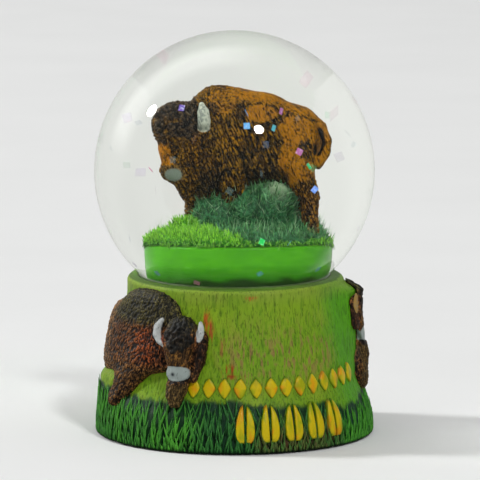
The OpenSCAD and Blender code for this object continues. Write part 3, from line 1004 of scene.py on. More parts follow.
# %% Paint of the bison
fine = noise(points, 0.35, 42)
ridge = rise_between(hair + 0.16 * fine, 0.2, 0.62)
gold = layered(
    even_coat(len(points), (138, 98, 4)), (0.5 + 0.5 * shape_noise, (152, 104, 0)),
    (rise_between(noise(points, 3.2, 43), 0.1, 0.6) * 0.6, (120, 88, 18)))
dashes = rise_between(-(hair + 0.35 * fine + 0.25 * shape_noise), -0.3, 0.05)
darks = patches(
    (1.0, -4.1, 25.2, 1.7, 1.3), (1.0, 1.2, 24.4, 1.1, 2.1), (0.8, -5.6, 17.2, 1.2, 4.0),
    (1.0, 12.4, 18.0, 0.8, 1.7), (0.7, -4.4, 13.0, 2.2, 3.5), (0.6, 7.4, 22.9, 0.8, 0.6))
belly = rise_between(14.4 - z, 0, 1.6) * span(x, 1.8, 2.8, 10.4, 0.8)
chest = rise_between(15.0 - z, 0, 2.0) * span(x, -7.4, -6.0, -1.8, 1)
under_tail = rise_between(0.4 - limb(points, *tail_gap), 0, 0.25)
colours = layered(
    blended(even_coat(len(points), (24, 19, 12)), ridge * 0.92, gold),
    (bare * (1 - 0.75 * dashes) * 0.7, (146, 94, 0)),
    (face_front * (0.8 - 0.6 * dashes), (172, 108, 0)),
    (darks * (1 - 0.45 * ridge), (26, 22, 20)),
    (np.maximum(belly, chest) * (0.9 - 0.25 * ridge), (14, 14, 10)),
    (under_tail, (14, 14, 14)))
wool = layered(even_coat(len(points), (18, 16, 16)),
               (rise_between(hair + 0.3 * fine, 0.45, 0.9), (92, 76, 54)))
low_hind = rise_between(11.5 - z, 0, 1.0) * rise_between(x, 9, 10)
lips = rise_between(0.9 - muzzle_egg, 0, 0.3)
colours = layered(
    blended(colours, crown, wool),
    (rise_between(10.2 - z, 0, 1.5) * 0.25, (110, 80, 50)),
    (low_hind * ridge * 0.6, (150, 100, 24)),
    (lips * (1 - 0.5 * dashes) * 0.8, (128, 98, 48)),
    (muzzle, (112, 124, 112)),
    (horns, (164, 170, 154)),
    (horns * rise_between(fine + 0.6 * shape_noise, 0.15, 0.5) * 0.7, (96, 104, 100)))
plain = np.maximum.reduce([0.55 * bare, horns, muzzle, 0.6 * crown])
paint_points(bison, colours, 1.0 - plain)
bison.data.materials.append(painted_resin(
    "coat_paint", size=0.3, depth=0.06, rough=(0.4, 0.62), break_up=0.16, specular=0.08,
    strokes=(0.3, 0.14, -25.0, 0.88)))
settle(bison, "bison_paint", "bison_figure")

# %% [markdown]
# ## Grass skirt
# Grass grows in hundreds of blades that differ only in place, lean, size and tint, which is work for
# Geometry Nodes. A tree takes one shape, here a cone that is swelled and bent, copies it onto points, and
# makes the copies real. Each point carries its copy's direction, outward side, size and paint. The
# glitter further on is planted by a tree of the same kind.

# %% Tree that plants a shape on points
def planting(name, shape, out_axis, larger, smooth):
    """Geometry nodes that put a copy of a shape on every point.

    The shape is a function of the graph and of how much it bends. Each point carries the direction that
    its copy rises in, the direction of its outer side and its size, which chance makes smaller and, by
    the same share times larger, bigger.
    """
    tree = bpy.data.node_groups.new(name, "GeometryNodeTree")
    tree.interface.new_socket("Geometry", in_out="OUTPUT", socket_type="NodeSocketGeometry")
    for key, kind in (("Roots", "Geometry"), ("Bend", "Float"), ("Unevenness", "Float"), ("Seed", "Int"),
                      ("Finish", "Material")):
        tree.interface.new_socket(key, in_out="INPUT", socket_type="NodeSocket" + kind)
    graph = Graph(tree)
    given = graph.node("NodeGroupInput", {}, {}, "Roots")
    made = shape(graph, given.output("Bend"))
    rise, out, grow = (
        graph.node("GeometryNodeInputNamedAttribute", {"data_type": "FLOAT_VECTOR"}, {"Name": key})
        for key in ("rise", "out", "grow"))
    turned_to = graph.node("FunctionNodeAxesToRotation", {"primary_axis": "Z", "secondary_axis": out_axis},
                           {0: rise, 1: out})
    spread = given.output("Unevenness")
    chance = graph.node("FunctionNodeRandomValue", {"data_type": "FLOAT"}, {
        "Min_001": 1 - spread, "Max_001": 1 + larger * spread, "Seed": given.output("Seed")}, "Value_001")
    copies = graph.node("GeometryNodeInstanceOnPoints", {}, {
        "Points": graph.node("GeometryNodeMeshToPoints", {}, {"Mesh": given}),
        "Instance": made, "Rotation": turned_to, "Scale": graph.scaled(grow, chance)})
    real = graph.node("GeometryNodeRealizeInstances", {}, {"Geometry": copies})
    if smooth:
        real = graph.node("GeometryNodeSetShadeSmooth", {}, {"Geometry": real})
    dressed = graph.node("GeometryNodeSetMaterial", {}, {
        "Geometry": real, "Material": given.output("Finish")})
    graph.node("NodeGroupOutput", {}, {"Geometry": dressed})
    print(name, "tree of", len(tree.nodes), "nodes")
    return tree


def blade_shape(graph, bend):
    """A four-sided cone with a swelled belly and a bent tip, which keeps its height as the along value."""
    cone = graph.node("GeometryNodeMeshCone", {}, {
        "Vertices": 4, "Side Segments": 4, "Radius Top": 0.04, "Radius Bottom": 0.5, "Depth": 1.0})
    along = graph.node("ShaderNodeSeparateXYZ", {}, {0: graph.node("GeometryNodeInputPosition")}, "Z")
    belly = 0.55 + 1.9 * along * (1 - along) + 0.2 * along
    moved = graph.node("ShaderNodeCombineXYZ", {}, {
        "X": along.output("X") * belly, "Y": along.output("Y") * belly + bend * along * along, "Z": along})
    blade = graph.node("GeometryNodeSetPosition", {}, {"Geometry": cone, "Position": moved})
    return graph.node("GeometryNodeStoreNamedAttribute", {"data_type": "FLOAT", "domain": "POINT"},
                      {"Geometry": blade, "Name": "along", "Value": along})


blades_on_points = planting("blades", blade_shape, out_axis="Y", larger=1, smooth=True)


# %% Growing a piece from points
def grown(name, tree, seeds, inputs):
    """Run a tree on points that carry their own attributes, and keep the result as a plain mesh."""
    roots = bpy.data.meshes.new(name + "_roots")
    roots.vertices.add(len(seeds["place"]))
    roots.vertices.foreach_set("co", (seeds["place"] * MM).ravel())
    for key in ("rise", "out", "grow"):
        layer = roots.attributes.new(key, "FLOAT_VECTOR", "POINT")
        layer.data.foreach_set("vector", (seeds[key] * (MM if key == "grow" else 1)).ravel())
    layer = roots.attributes.new("paint", "FLOAT_COLOR", "POINT")
    clear = np.ones((len(seeds["place"]), 4 - seeds["paint"].shape[1]))
    layer.data.foreach_set("color", np.column_stack([seeds["paint"], clear]).ravel())
    sower = in_scene(name + "_roots", roots)
    modifier = sower.modifiers.new("grow", "NODES")
    modifier.node_group = tree
    for item in tree.interface.items_tree:
        if item.in_out == "INPUT" and item.name in inputs:
            modifier[item.identifier] = inputs[item.name]
    evaluated = sower.evaluated_get(bpy.context.evaluated_depsgraph_get())
    mesh = bpy.data.meshes.new_from_object(evaluated)
    mesh.materials.clear()
    mesh.materials.append(inputs["Finish"])
    sower.modifiers.clear()
    bpy.data.objects.remove(sower)
    print(name, "grown from", len(seeds["place"]), "points:", len(mesh.polygons), "faces")
    return in_scene(name, mesh)


# %% Paint of blades
def blade_paint(name, specular, root_shade, tip_shade, tips, tint_rise, rough, depth):
    """Paint of blades: dark at the root, their own tint in the middle, dry-brushed at the tip.

    The tips are the speck value that they start from, their strength and their least cover; the rise of
    the tint is how fast it covers the dark root and its least cover.
    """
    material, graph, shader = new_finish(name, {"Specular IOR Level": specular})
    brushed = graph.stored("paint", "Color")
    along = graph.stored("along", "Fac")
    speck = grain(graph, 0.3, 3.0, (1, 1, 0.3))
    start, strength, least = tips
    lit = graph.mixed(brushed, rgba(*tip_shade), ((speck - start) * strength * along + least).clamped())
    tinted = (along * tint_rise[0] + tint_rise[1]).clamped()
    graph.feed(shader, "Base Color", graph.mixed(rgba(*root_shade), lit, tinted))
    wear(graph, shader, speck, *rough)
    bump(graph, shader, speck, depth)
    return material


# %% [markdown]
# The skirt has six rows of blades. Each row is rooted lower than the one above it and overlaps it, and
# neighbouring blades lean to opposite sides, which gives the small V shapes of a carved tussock.

# %% Skirt blades
chance = np.random.default_rng(7)
blade_rows = 6
per_row = 190
row_drop = 2.0
skirt_mean_r = 31
row_of = np.repeat(np.arange(blade_rows), per_row)
count = blade_rows * per_row
angle = ((np.tile(np.arange(per_row), blade_rows) + 0.5 * (row_of % 2) + chance.uniform(-0.4, 0.4, count))
         * 360 / per_row) % 360 - 180
length = chance.uniform(4.6, 7.6, count)
top = tip_line(angle) - row_of * row_drop - chance.uniform(0, 1.5, count)
root_z = np.maximum(top - length, foot_z + 0.1)
length = np.maximum(top - root_z, 1.2)
top = root_z + length
sway = np.where(np.arange(count) % 2, 1, -1) * chance.uniform(0.05, 0.42, count)
thickness = 0.9 - 0.05 * row_of
spread = np.degrees(sway * length / skirt_mean_r)
proud = 0.38 + 0.13 * row_of
root_r = np.minimum(wall_radius(angle, root_z) + proud, foot_r - 0.5 * thickness - 0.05)
tip_r = np.minimum(wall_radius(angle + spread, top) + proud + 0.2, foot_r - 0.2)
root = on_base(angle, root_r, root_z)
tip = on_base(angle + spread, tip_r, top)
reach_up = np.linalg.norm(tip - root, axis=1)
tint = chance.uniform(0, 1, count)
patch = noise(root, 7.0, 21)
# Painted shade: from just left of the front round to the right, patches of blades are painted a darker teal.
shaded_band = span(angle, -20, -8, 56, 10)
brown = bell(root_z, 1.5, 2.5) * span(angle, 4, 14, 54, 12)
shade = layered(
    even_coat(count, (26, 92, 20)), (tint, (70, 146, 36)),
    ((0.35 + 0.5 * shaded_band) * (patch + shaded_band > 0.3), (16, 74, 40)),
    (brown * chance.uniform(0.2, 1.0, count), (96, 64, 42)))
seeds = {"place": root, "rise": (tip - root) / reach_up[:, None], "out": on_base(angle, 1.0, 0 * angle),
         "grow": np.column_stack([chance.uniform(0.75, 1.15, count), thickness, reach_up]), "paint": shade}
skirt_paint = blade_paint(
    "skirt_paint", specular=0.2, root_shade=(8, 34, 12), tip_shade=(96, 176, 66), tips=(0.42, 1.6, 0.1),
    tint_rise=(2.2, 0.1), rough=(0.35, 0.6), depth=0.05)
grass_skirt = grown("grass_skirt", blades_on_points, seeds,
                    {"Bend": 0.0, "Unevenness": 0.0, "Seed": 3, "Finish": skirt_paint})
settle(grass_skirt, "painted_resin", "resin_base")

# %% [markdown]
# ## Motif on the base
# A souvenir of this kind carries a raised motif at the front of its base. This one has a band of small
# lozenges over a row of cloven hoof prints. Each is a flat pad with rounded edges that follows the wall.
# It is swept from its outline: the outline is repeated inwards and outwards in rings, and the rings are
# laid on the wall by angle and height.

# %% Raised pads
def pad(outline, angle, height, base_r, proud):
    """Points and triangles of a rounded pad; the outline is in mm across and up from its middle."""
    outline = np.asarray(outline)
    rings = ((1.04, -0.5), (1.0, 0.35), (0.9, 0.8), (0.7, 1.0), (0.0, 1.0))
    middle = outline.mean(axis=0)
    grid = []
    for share, lift in rings:
        loop = middle + (outline - middle) * share
        around = angle + np.degrees(loop[:, 0] / base_r)
        up = height + loop[:, 1]
        raised = wall_radius(around, up) + proud[0] + lift * proud[1]
        grid.append(on_base(around, np.minimum(raised, foot_r - 0.03), up))
    grid = np.array(grid)
    index = np.arange(grid.shape[0] * grid.shape[1]).reshape(grid.shape[:2])
    index[-1] = index[-1, 0]
    return without_strays(grid.reshape(-1, 3), joined_grid(index))


def pads_piece(name, pads):
    """Several pads as one mesh."""
    shift, all_points, all_faces = 0, [], []
    for points, faces in pads:
        all_points.append(points)
        all_faces.append(faces + shift)
        shift += len(points)
    print(name, "has", len(pads), "pads")
    return new_piece(name, np.concatenate(all_points), np.concatenate(all_faces))


around = np.radians(np.arange(0, 360, 10))
lozenge = np.column_stack([1.55 * np.sign(np.cos(around)) * np.abs(np.cos(around)) ** 1.5,
                           2.3 * np.sign(np.sin(around)) * np.abs(np.sin(around)) ** 1.5])
band_angles = np.linspace(-19, 68, 13)
band_z = 14.8
band_r = 29.0
band_ground = 0.05
lozenges = [pad(lozenge, a, band_z + 0.01 * max(0, a - 30) ** 1.2, band_r, (band_ground, 0.55))
            for a in band_angles]
lozenge_band = pads_piece("lozenge_band", lozenges)


def hoof_half(side):
    """Outline of one toe of a cloven print: rounded heel, full outer edge and a tip that turns in."""
    share = np.concatenate([np.linspace(0.02, 1, 16), np.linspace(1, 0.02, 16)[1:]])
    outer = np.arange(len(share)) >= 16
    full = np.sqrt(np.sin(np.pi * share ** 0.62))
    across = np.where(outer, 0.3 + 1.75 * full, 0.3 - 0.12 * full) + 0.15 * share
    return np.column_stack([side * across, 8.4 * (share - 0.5)])


print_ground = skirt_proud - 0.5
print_angles = [4.5, 15.0, 25.5, 36.0, 46.5]
print_z = 6.9
print_r = 30.3
prints = []
for a in print_angles:
    for side in (-1, 1):
        outline = hoof_half(side)
        prints.append(pad(outline[::-side], a, print_z, print_r, (print_ground, 0.6)))
hoof_prints = pads_piece("hoof_prints", prints)

# %% Yellow enamel
def motif_paint(piece, ground_r):
    """Yellow on the raised face, green that has crept in at the edges, and a few orange touches."""
    points = np.array([v.co for v in piece.data.vertices]) / MM
    angle = np.degrees(np.arctan2(points[:, 0], -points[:, 1]))
    lift = np.hypot(points[:, 0], points[:, 1]) - wall_radius(angle, points[:, 2]) - ground_r
    colours = layered(
        even_coat(len(points), (66, 110, 20)),
        (rise_between(lift + 0.2 * noise(points, 0.9, 31), 0.2, 0.5), (192, 170, 2)),
        (rise_between(noise(points, 1.8, 32), 0.25, 0.6) * 0.55, (212, 120, 10)),
        (rise_between(noise(points, 1.4, 33), 0.1, 0.5) * 0.65, (122, 146, 10)))
    paint_points(piece, colours)
    piece.data.materials.append(yellow)
    settle(piece, "painted_resin", "resin_base")


yellow = painted_resin("yellow_enamel", size=0.3, depth=0.04, rough=(0.32, 0.5), break_up=0.16)
motif_paint(lozenge_band, band_ground)
motif_paint(hoof_prints, print_ground)

# %% [markdown]
# ## Grass mound
# The bison stands on a mound of grass with a bush between its legs. The ground is sculpted like the
# animal, from lumps and carved strokes. Blades grown on it give the fringe its ragged edge, and long
# pale fibres, as from a worn brush, cling to the bush.

# %% Form of the mound
mound_r = disc_r - 0.2
bushes = [(3.2, -1.2, 6.0, 6.2, 5.2, 4.6), (6.6, -1.8, 8.1, 3.6, 3.8, 3.5), (-3.8, -1.0, 5.2, 4.0, 4.4, 4.1),
          (11.4, -0.2, 2.6, 3.0, 3.6, 2.6), (-9.6, -0.4, 3.2, 1.9, 2.4, 1.7), (0.0, 3.0, 6.0, 6.0, 4.0, 3.6)]


def mound_form(place):
    """A low dome with an upright edge and its bushes."""
    flat = np.sqrt(place[..., 0] ** 2 + place[..., 1] ** 2)
    dome = egg(place, (0, 0, 0.4), (mound_r + 0.1, mound_r + 0.1, 3.6))
    rim = np.maximum(flat - mound_r + 0.1, place[..., 2] - 1.0)
    whole = join(1.6, join(0.5, dome, rim), *(egg(place, bush[:3], bush[3:]) for bush in bushes))
    return np.maximum(whole, 0.02 - place[..., 2])


mound_cell = 0.3
points, quads = net(mound_form, (-17.5, -17.5, -0.5), (17.5, 17.5, 12.5), mound_cell)
mound_foot = np.array([disc_shift, 0, ground_z])
mound = new_piece("mound", points + mound_foot, quads)
normals = point_normals(mound)
print("mound net:", len(points), "points")

# %% Strokes and paint of the mound
x, y, z = points.T
shape_noise = noise(points, 1.6, 61)
bush_line = np.interp(x, [-9, -6.7, -1, 2.9, 11.9, 15.2, 17], [6, 3.4, 0, -1.8, -1.3, 0, 1.5])
bushy = rise_between(z - 0.15 * np.abs(y) + 0.5 * shape_noise - bush_line, -0.5, 0.8)
fine = noise(points, 0.5, 62)
carved_blades = 4200
blade_cut = combed(points, normals, z > 0.4, carved_blades, lambda place: (0, 0, 1.0) + 0.0 * place,
                   jitter=0.35, length=1.5, width=0.26, curl=0.4, seed=63)
room = rise_between(z, 0.1, 0.9)
lift = (0.32 * blade_cut + 0.16 * shape_noise) * room
edge_limit = np.minimum(lift, mound_r + 0.2 - np.hypot(x, y))
move_points(mound, points + normals * edge_limit[:, None] + mound_foot)
ridge = rise_between(blade_cut + 0.2 * fine, 0.35, 0.7)
grass_colour = layered(even_coat(len(points), (26, 98, 6)),
                       (ridge * (0.7 + 0.3 * shape_noise), (112, 184, 34)))
bush_colour = layered(even_coat(len(points), (14, 54, 26)), (ridge * 0.6 + 0.3 * shape_noise, (60, 124, 76)))
grey_lump = bell(np.linalg.norm(points - (7.0, -3.4, 10.2), axis=1), 0, 1.7)
colours = layered(blended(grass_colour, bushy, bush_colour), (grey_lump * 1.1, (136, 156, 124)))
paint_points(mound, colours)
mound.data.materials.append(painted_resin(
    "mound_paint", size=0.3, depth=0.04, rough=(0.45, 0.7), break_up=0.2, specular=0.15))
settle(mound, "grass_paint", "grass_mound")

# %% Blades and fibres on the mound
def sown(count, allowed, length, width, thick, lean, up, shade, seed, outwards=0.7):
    """Seeds for blades that grow out of the mound's surface."""
    chance = np.random.default_rng(seed)
    pick = chance.choice(np.flatnonzero(allowed), count)
    rise = normals[pick] * outwards + (0, 0, up) + chance.normal(0, lean, (count, 3))
    rise /= np.linalg.norm(rise, axis=1)[:, None]
    out = normals[pick] + chance.normal(0, 0.2, (count, 3))
    longs = length * chance.uniform(0.6, 1.3, count)
    grow = np.column_stack([np.full(count, width), np.full(count, thick), longs])
    place = points[pick] + mound_foot - 0.1 * rise
    tip = place + rise * grow[:, 2:]
    far = np.hypot(tip[:, 0] - disc_shift, tip[:, 1])
    grow[:, 2] *= np.where(far > disc_r + 0.45, 0.4, 1.0)
    light, dark = tone(*shade[0]), tone(*shade[1])
    mix = chance.uniform(0, 1, (count, 1))
    return {"place": place, "rise": rise, "out": out, "grow": grow, "paint": dark + mix * (light - dark)}


def together(*groups):
    """Several groups of seeds as one."""
    return {key: np.concatenate([group[key] for group in groups]) for key in groups[0]}


on_bush = bushy > 0.5
on_rim = (z > 0.25) & (z < 1.4) & (np.hypot(x, y) > mound_r - 0.5)
seeds = together(
    sown(900, on_rim, 1.35, 0.42, 0.2, 0.3, -0.9, ((116, 190, 40), (46, 122, 14)), 70, 0.3),
    sown(1700, ~on_bush & (z > 0.5), 1.1, 0.38, 0.22, 0.22, 0.9, ((136, 200, 46), (50, 124, 14)), 71),
    sown(1900, on_bush, 1.5, 0.26, 0.16, 0.4, 0.7, ((80, 150, 92), (18, 70, 34)), 72),
    sown(520, on_bush, 2.6, 0.11, 0.08, 0.6, 0.4, ((176, 200, 160), (90, 146, 110)), 73),
    sown(60, ~on_bush & (z > 1.5), 2.6, 0.08, 0.06, 0.5, 0.6, ((190, 210, 150), (130, 170, 110)), 74))


moss_paint = blade_paint(
    "moss_paint", specular=0.25, root_shade=(14, 52, 20), tip_shade=(150, 200, 90), tips=(0.45, 0.9, 0.06),
    tint_rise=(1.7, 0.15), rough=(0.4, 0.65), depth=0.04)
mound_grass = grown("mound_grass", blades_on_points, seeds, {
    "Bend": 0.25, "Unevenness": 0.15, "Seed": 5, "Finish": moss_paint})
settle(mound_grass, "grass_paint", "grass_mound")

# %% [markdown]
# ## Relief animals
# Two bison lie on the wall in high relief, one at the front left, the other at the right with its head
# towards the side. The relief is worked out flat, as if the wall were unrolled: across the wall from the
# head, up, and out of the wall. Then the net is bent round the base, and the far animal is its mirror.

# %% Form of a relief animal
mean_r = 29.0
plateau = 3.3
relief_cell = 0.21
relief_locks = 5200
left_head = -25.0
right_head = 88.0
left_horn = [(-4.3, 24.4, 3.2, 0.4), (-5.5, 25.2, 3.3, 0.6), (-6.3, 26.6, 3.4, 0.8), (-6.3, 28.2, 3.4, 0.75),
             (-5.3, 29.8, 3.4, 0.4)]
right_horn = [(4.3, 26.1, 2.8, 0.5), (4.8, 27.3, 3.0, 0.8), (4.8, 28.8, 3.0, 0.7), (4.7, 29.7, 3.0, 0.45)]


def lowered(horn, drop):
    """A horn, as a list of places and radii, moved down."""
    return [(s, z - drop, d, r) for s, z, d, r in horn]


def head_form(place, cheek_low, horn_drop):
    """Head seen from its front: forehead, face, muzzle, beard, horns and ears."""
    face = join(0.8, egg(place, (0, 26.6, 2.7), (4.0, 4.4, 2.6)),
                limb(place, (-0.4, 24.0, 2.2, 3.6), (0.0, 19.6, 2.2, 2.6)),
                egg(place, (0.0, 18.2, 3.0), (2.7, 1.75, 1.45)))
    cheek = limb(place, (4.4, 26.0, 1.2, 1.7), (4.0, max(21.4, cheek_low), 1.2, 1.7),
                 (2.9, cheek_low, 1.2, 1.2))
    beard = limb(place, (-0.2, 16.0, 1.9, 2.4), (-0.6, 13.6, 1.8, 2.1), (-0.7, 12.0, 1.4, 1.5))
    ears = eggs(place, 0.3, (-3.7, 25.4, 2.9, 1.1, 1.4, 0.9), (3.6, 26.4, 2.6, 0.9, 1.2, 0.9))
    horns = [limb(place, *lowered(horn, horn_drop)) for horn in (left_horn, right_horn)]
    return join(0.5, face, cheek, beard, ears, *horns)


def left_body(place):
    """Barrel, hump, rump and hind leg of the front animal."""
    barrel = eggs(
        place, 2.5, (-12.0, 26.0, -0.9, 9.6, 8.8, 4.9), (-23.0, 24.0, 0.0, 9.6, 8.6, 4.3),
        (-31.0, 22.8, 0.2, 7.4, 8.4, 3.8), (-10.6, 30.2, -0.8, 8.6, 5.4, 4.6),
        (-17.5, 28.6, -0.6, 8.4, 6.6, 4.5), (-6.0, 25.0, -0.6, 5.0, 7.4, 3.8))
    leg = limb(place, (-13.4, 20.4, -0.4, 4.8), (-17.4, 14.8, -0.4, 4.0), (-19.8, 10.8, 0.0, 2.6))
    return -join(2.4, -join(3.0, barrel, leg), plateau - place[..., 2])


def right_body(place):
    """Chest, barrel and rump of the side animal, whose head is raised."""
    barrel = eggs(
        place, 1.6, (-1.0, 10.5, -0.8, 5.0, 5.6, 4.2), (-4.0, 15.5, -1.0, 6.0, 6.6, 4.4),
        (-13.0, 20.0, -1.2, 11.0, 8.6, 4.6), (-22.0, 18.5, -1.4, 9.0, 8.0, 4.2),
        (-9.0, 26.0, -1.2, 7.5, 4.6, 4.0))
    return join(1.6, barrel, limb(place, (-5.5, 11.0, 0.0, 2.2), (-5.4, 5.5, 0.2, 1.2)),
                limb(place, (-25.0, 13.0, 0.0, 2.6), (-26.0, 5.5, 0.2, 1.3)))


# %% [markdown]
# The horns, the muzzle and the forehead are found again on the finished net by the same formulas that
# shaped them. They stay smooth while the coat round them is combed, and each gets its own paint.

# %% Bending, combing and painting a relief
def relief_piece(name, head_angle, side, body, raised, ground, depths, cheek_low, horn_drop, muzzle_from,
                 horn_tone, low, high, seed):
    """Net a relief animal, bend it round the ground, comb it and paint it.

    The depths are shares of its thickness at heights of 18, 22 and 28 mm. The muzzle is pale where the
    form stands out by more than muzzle_from.
    """
    def form(place):
        whole = join(1.0, head_form(place, cheek_low, horn_drop), body(place))
        return np.maximum(whole, -0.9 - place[..., 2])

    flat, quads = net(form, low, high, relief_cell)
    angle = head_angle + side * np.degrees(flat[:, 0] / mean_r)
    height = flat[:, 1] + raised
    depth = np.interp(height, (18, 22, 28), depths) * flat[:, 2]
    points = on_base(angle, np.minimum(ground(angle, height) + depth, foot_r - 0.1), height)
    piece = new_piece(name, points, quads[:, ::side])
    normals = point_normals(piece)
    s, z, d = flat.T
    horn_forms = [limb(flat, *lowered(horn, horn_drop)) for horn in (left_horn, right_horn)]
    horns = rise_between(0.3 - join(0.1, *horn_forms), 0, 0.15) * rise_between(d, 2.4, 2.9)
    muzzle = rise_between(1 - np.abs(s / 2.85) ** 3 - np.abs((z - 18.4) / 1.75) ** 2.4, 0, 0.2)
    muzzle *= rise_between(d, muzzle_from, muzzle_from + 0.7)
    tufts = noise(points, 0.8, seed + 4)
    forehead = rise_between(1.05 + 0.45 * tufts - ((s - 0.1) / 3.5) ** 2 - ((z - 26.8) / 4.0) ** 2, 0, 0.35)
    face = rise_between(0.4 + 0.3 * tufts - limb(flat, (-0.2, 23.8, 2.6, 3.3), (0.0, 19.4, 2.6, 2.3)), 0, 0.5)
    ears = eggs(flat, 0.1, (-3.7, 25.4, 2.9, 1.0, 1.3, 0.9), (3.6, 26.4, 2.6, 0.8, 1.1, 0.9))
    ears = rise_between(0.25 - ears, 0, 0.2)
    smooth = np.maximum(horns, muzzle)

    def lie(place):
        a = np.arctan2(place[:, 0], -place[:, 1])
        back = rise_between((head_angle - np.degrees(a)) * side, 14, 26)
        around = np.stack([np.cos(a), np.sin(a), 0 * a], -1) * side
        return around * (-0.75 * back[:, None]) + np.array([0, 0, -1.0])

    coat = combed(points, normals, smooth < 0.2, relief_locks, lie,
                  jitter=0.35, length=1.7, width=0.3, curl=0.4, seed=seed)
    fine, broad = noise(points, 0.45, seed + 1), noise(points, 2.6, seed + 2)
    lift = (0.3 * coat * (1 - 0.4 * face) + 0.1 * broad + 0.3 * tufts * forehead) * (1 - smooth)
    grown_to = points + normals * lift[:, None]
    outward = np.hypot(grown_to[:, 0], grown_to[:, 1])
    grown_to[:, :2] *= np.minimum(1, (foot_r - 0.02) / outward)[:, None]
    move_points(piece, grown_to)
    ridge = rise_between(coat + 0.2 * fine, 0.2, 0.65)
    count = len(points)
    rust = np.exp(-(((s + 9.5) / 4.5) ** 2 + ((z - 25.0) / 4.0) ** 2))
    rust = rust + 0.6 * np.exp(-(((s + 8.5) / 4.0) ** 2 + ((z - 20.0) / 2.5) ** 2))
    dark = layered(even_coat(count, (34, 24, 18)), (rise_between(z, 26, 31), (30, 30, 18)))
    top_hair = layered(even_coat(count, (92, 84, 44)), (rise_between(broad, 0, 0.6) * 0.6, (140, 130, 60)))
    hair = layered(even_coat(count, (146, 80, 30)), (0.5 + 0.5 * fine, (160, 108, 56)),
                   (rust * 0.9, (176, 78, 22)))
    hair = blended(hair, rise_between(z, 26.5, 29.5), top_hair)
    hair = layered(hair, (rise_between(20.5 - z, 0, 3.0), (146, 100, 48)),
                   (0.9 * rise_between(-s, 22, 28), (184, 136, 84)))
    streaks = rise_between(-noise(points * (1, 1, 0.3), 0.4, seed + 3), 0.1, 0.5)
    beard = rise_between(16.2 - z, 0, 0.8) * rise_between(3.0 - np.abs(s), 0, 0.6)
    nostril = np.exp(-(((s + 0.5) / 0.42) ** 2 + ((z - 18.2) / 0.42) ** 2)) * (d > 2)
    colours = layered(
        blended(dark, 0.9 * ridge, hair),
        # Painted shadow: the far side of the head, below the horn, is painted dark brown.
        (rise_between(s, 3.2, 4.2) * rise_between(26.8 - z, 0, 1) * 0.7, (44, 30, 22)),
        (face * (0.35 + 0.65 * ridge), (132, 92, 36)),
        (face * streaks * 0.8, (44, 32, 20)),
        (beard * (0.4 + 0.5 * ridge), (114, 92, 48)),
        (forehead * 0.95, (16, 18, 16)),
        (forehead * rise_between(coat + 0.4 * fine, 0.6, 1.0) * 0.6, (70, 62, 44)),
        (ears * 0.85, (150, 62, 28)),
        (muzzle, (140, 150, 146)),
        (nostril * 1.3, (34, 40, 44)),
        (horns, horn_tone),
        (horns * rise_between(fine, 0.2, 0.6) * 0.5, (110, 112, 112)))
    paint_points(piece, colours, 1.0 - np.maximum(smooth, 0.5 * forehead))
    piece.data.materials.append(painted_resin(
        name + "_paint", size=0.35, depth=0.05, rough=(0.42, 0.66), break_up=0.2,
        strokes=(0.3, 0.16, 14.0 * side, 0.78)))
    settle(piece, "painted_resin", "resin_base")


# %% The two relief animals
relief_piece(
    "relief_bison_left", left_head, side=1, body=left_body, raised=0.0,
    ground=lambda angle, height: bare_radius(height), depths=(1.0, 1.0, 1.0), cheek_low=17.4, horn_drop=0.0,
    muzzle_from=1.5, horn_tone=(176, 180, 178), low=(-41, 7, -1.6), high=(8, 36.2, 6.6), seed=81)
relief_piece(
    "relief_bison_right", right_head, side=-1, body=right_body, raised=4.9,
    ground=wall_radius, depths=(0.8, 0.5, 0.28), cheek_low=21.6, horn_drop=1.8,
    muzzle_from=0.3, horn_tone=(152, 122, 62), low=(-33, 2, -1.6), high=(8, 31.4, 6.6), seed=91)

# %% [markdown]
# ## Glitter
# The glitter is cut from iridescent film. The construction has each flake's place, so the script reads
# the flakes back from it, one island of faces each, and a planting tree puts a slightly curled square
# of film on every one. The flakes that glint get their colour at full strength as a painted glint, and
# the others are painted almost clear. Those that swirl, those that sink and those at rest ride on different
# bodies.

# %% Flake shape
def film_shape(graph, bend):
    """A thin square plate that is curled about its middle."""
    plate = graph.node("GeometryNodeMeshCube", {}, {"Vertices X": 5, "Vertices Y": 3, "Vertices Z": 2})
    across = graph.node("ShaderNodeSeparateXYZ", {}, {0: graph.node("GeometryNodeInputPosition")}, "X")
    curled = across.output("Z") + bend * across * across - bend * 0.08
    moved = graph.node("ShaderNodeCombineXYZ", {}, {"X": across, "Y": across.output("Y"), "Z": curled})
    return graph.node("GeometryNodeSetPosition", {}, {"Geometry": plate, "Position": moved})


films_on_points = planting("flakes", film_shape, out_axis="X", larger=0, smooth=False)


# %% Flakes of the construction
def flakes_of(node):
    """Middle, normal and side direction, in mm, of each square plate of a node."""
    work = bmesh.new()
    work.from_mesh(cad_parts[node].data)
    bmesh.ops.remove_doubles(work, verts=work.verts, dist=1e-6)
    work.verts.index_update()
    left, found = set(work.verts), []
    while left:
        island, to_visit = [], [left.pop()]
        while to_visit:
            vertex = to_visit.pop()
            island.append(vertex)
            neighbours = {edge.other_vert(vertex) for edge in vertex.link_edges} & left
            left -= neighbours
            to_visit.extend(neighbours)
        island.sort(key=lambda v: v.index)
        corners = np.array([v.co for v in island]) / MM
        middle = corners.mean(axis=0)
        normal = np.linalg.svd(corners - middle)[2][2]
        normal *= np.sign(normal @ (0.91, 0.37, 0.19))
        edges = np.array([e.verts[1].co - e.verts[0].co for v in island for e in v.link_edges]) / MM
        lengths = np.linalg.norm(edges, axis=1)
        is_side = (lengths > 0.5) & (lengths < 0.8 * lengths.max())
        sides = [tuple(np.round(np.sign(e @ (0.29, 0.83, 0.47)) * e / n, 4))
                 for e, n in zip(edges[is_side], lengths[is_side])]
        found.append((middle, normal, np.array(min(sides)), np.median(lengths[is_side])))
    work.free()
    return sorted(found, key=lambda flake: tuple(np.round(flake[0], 3)))


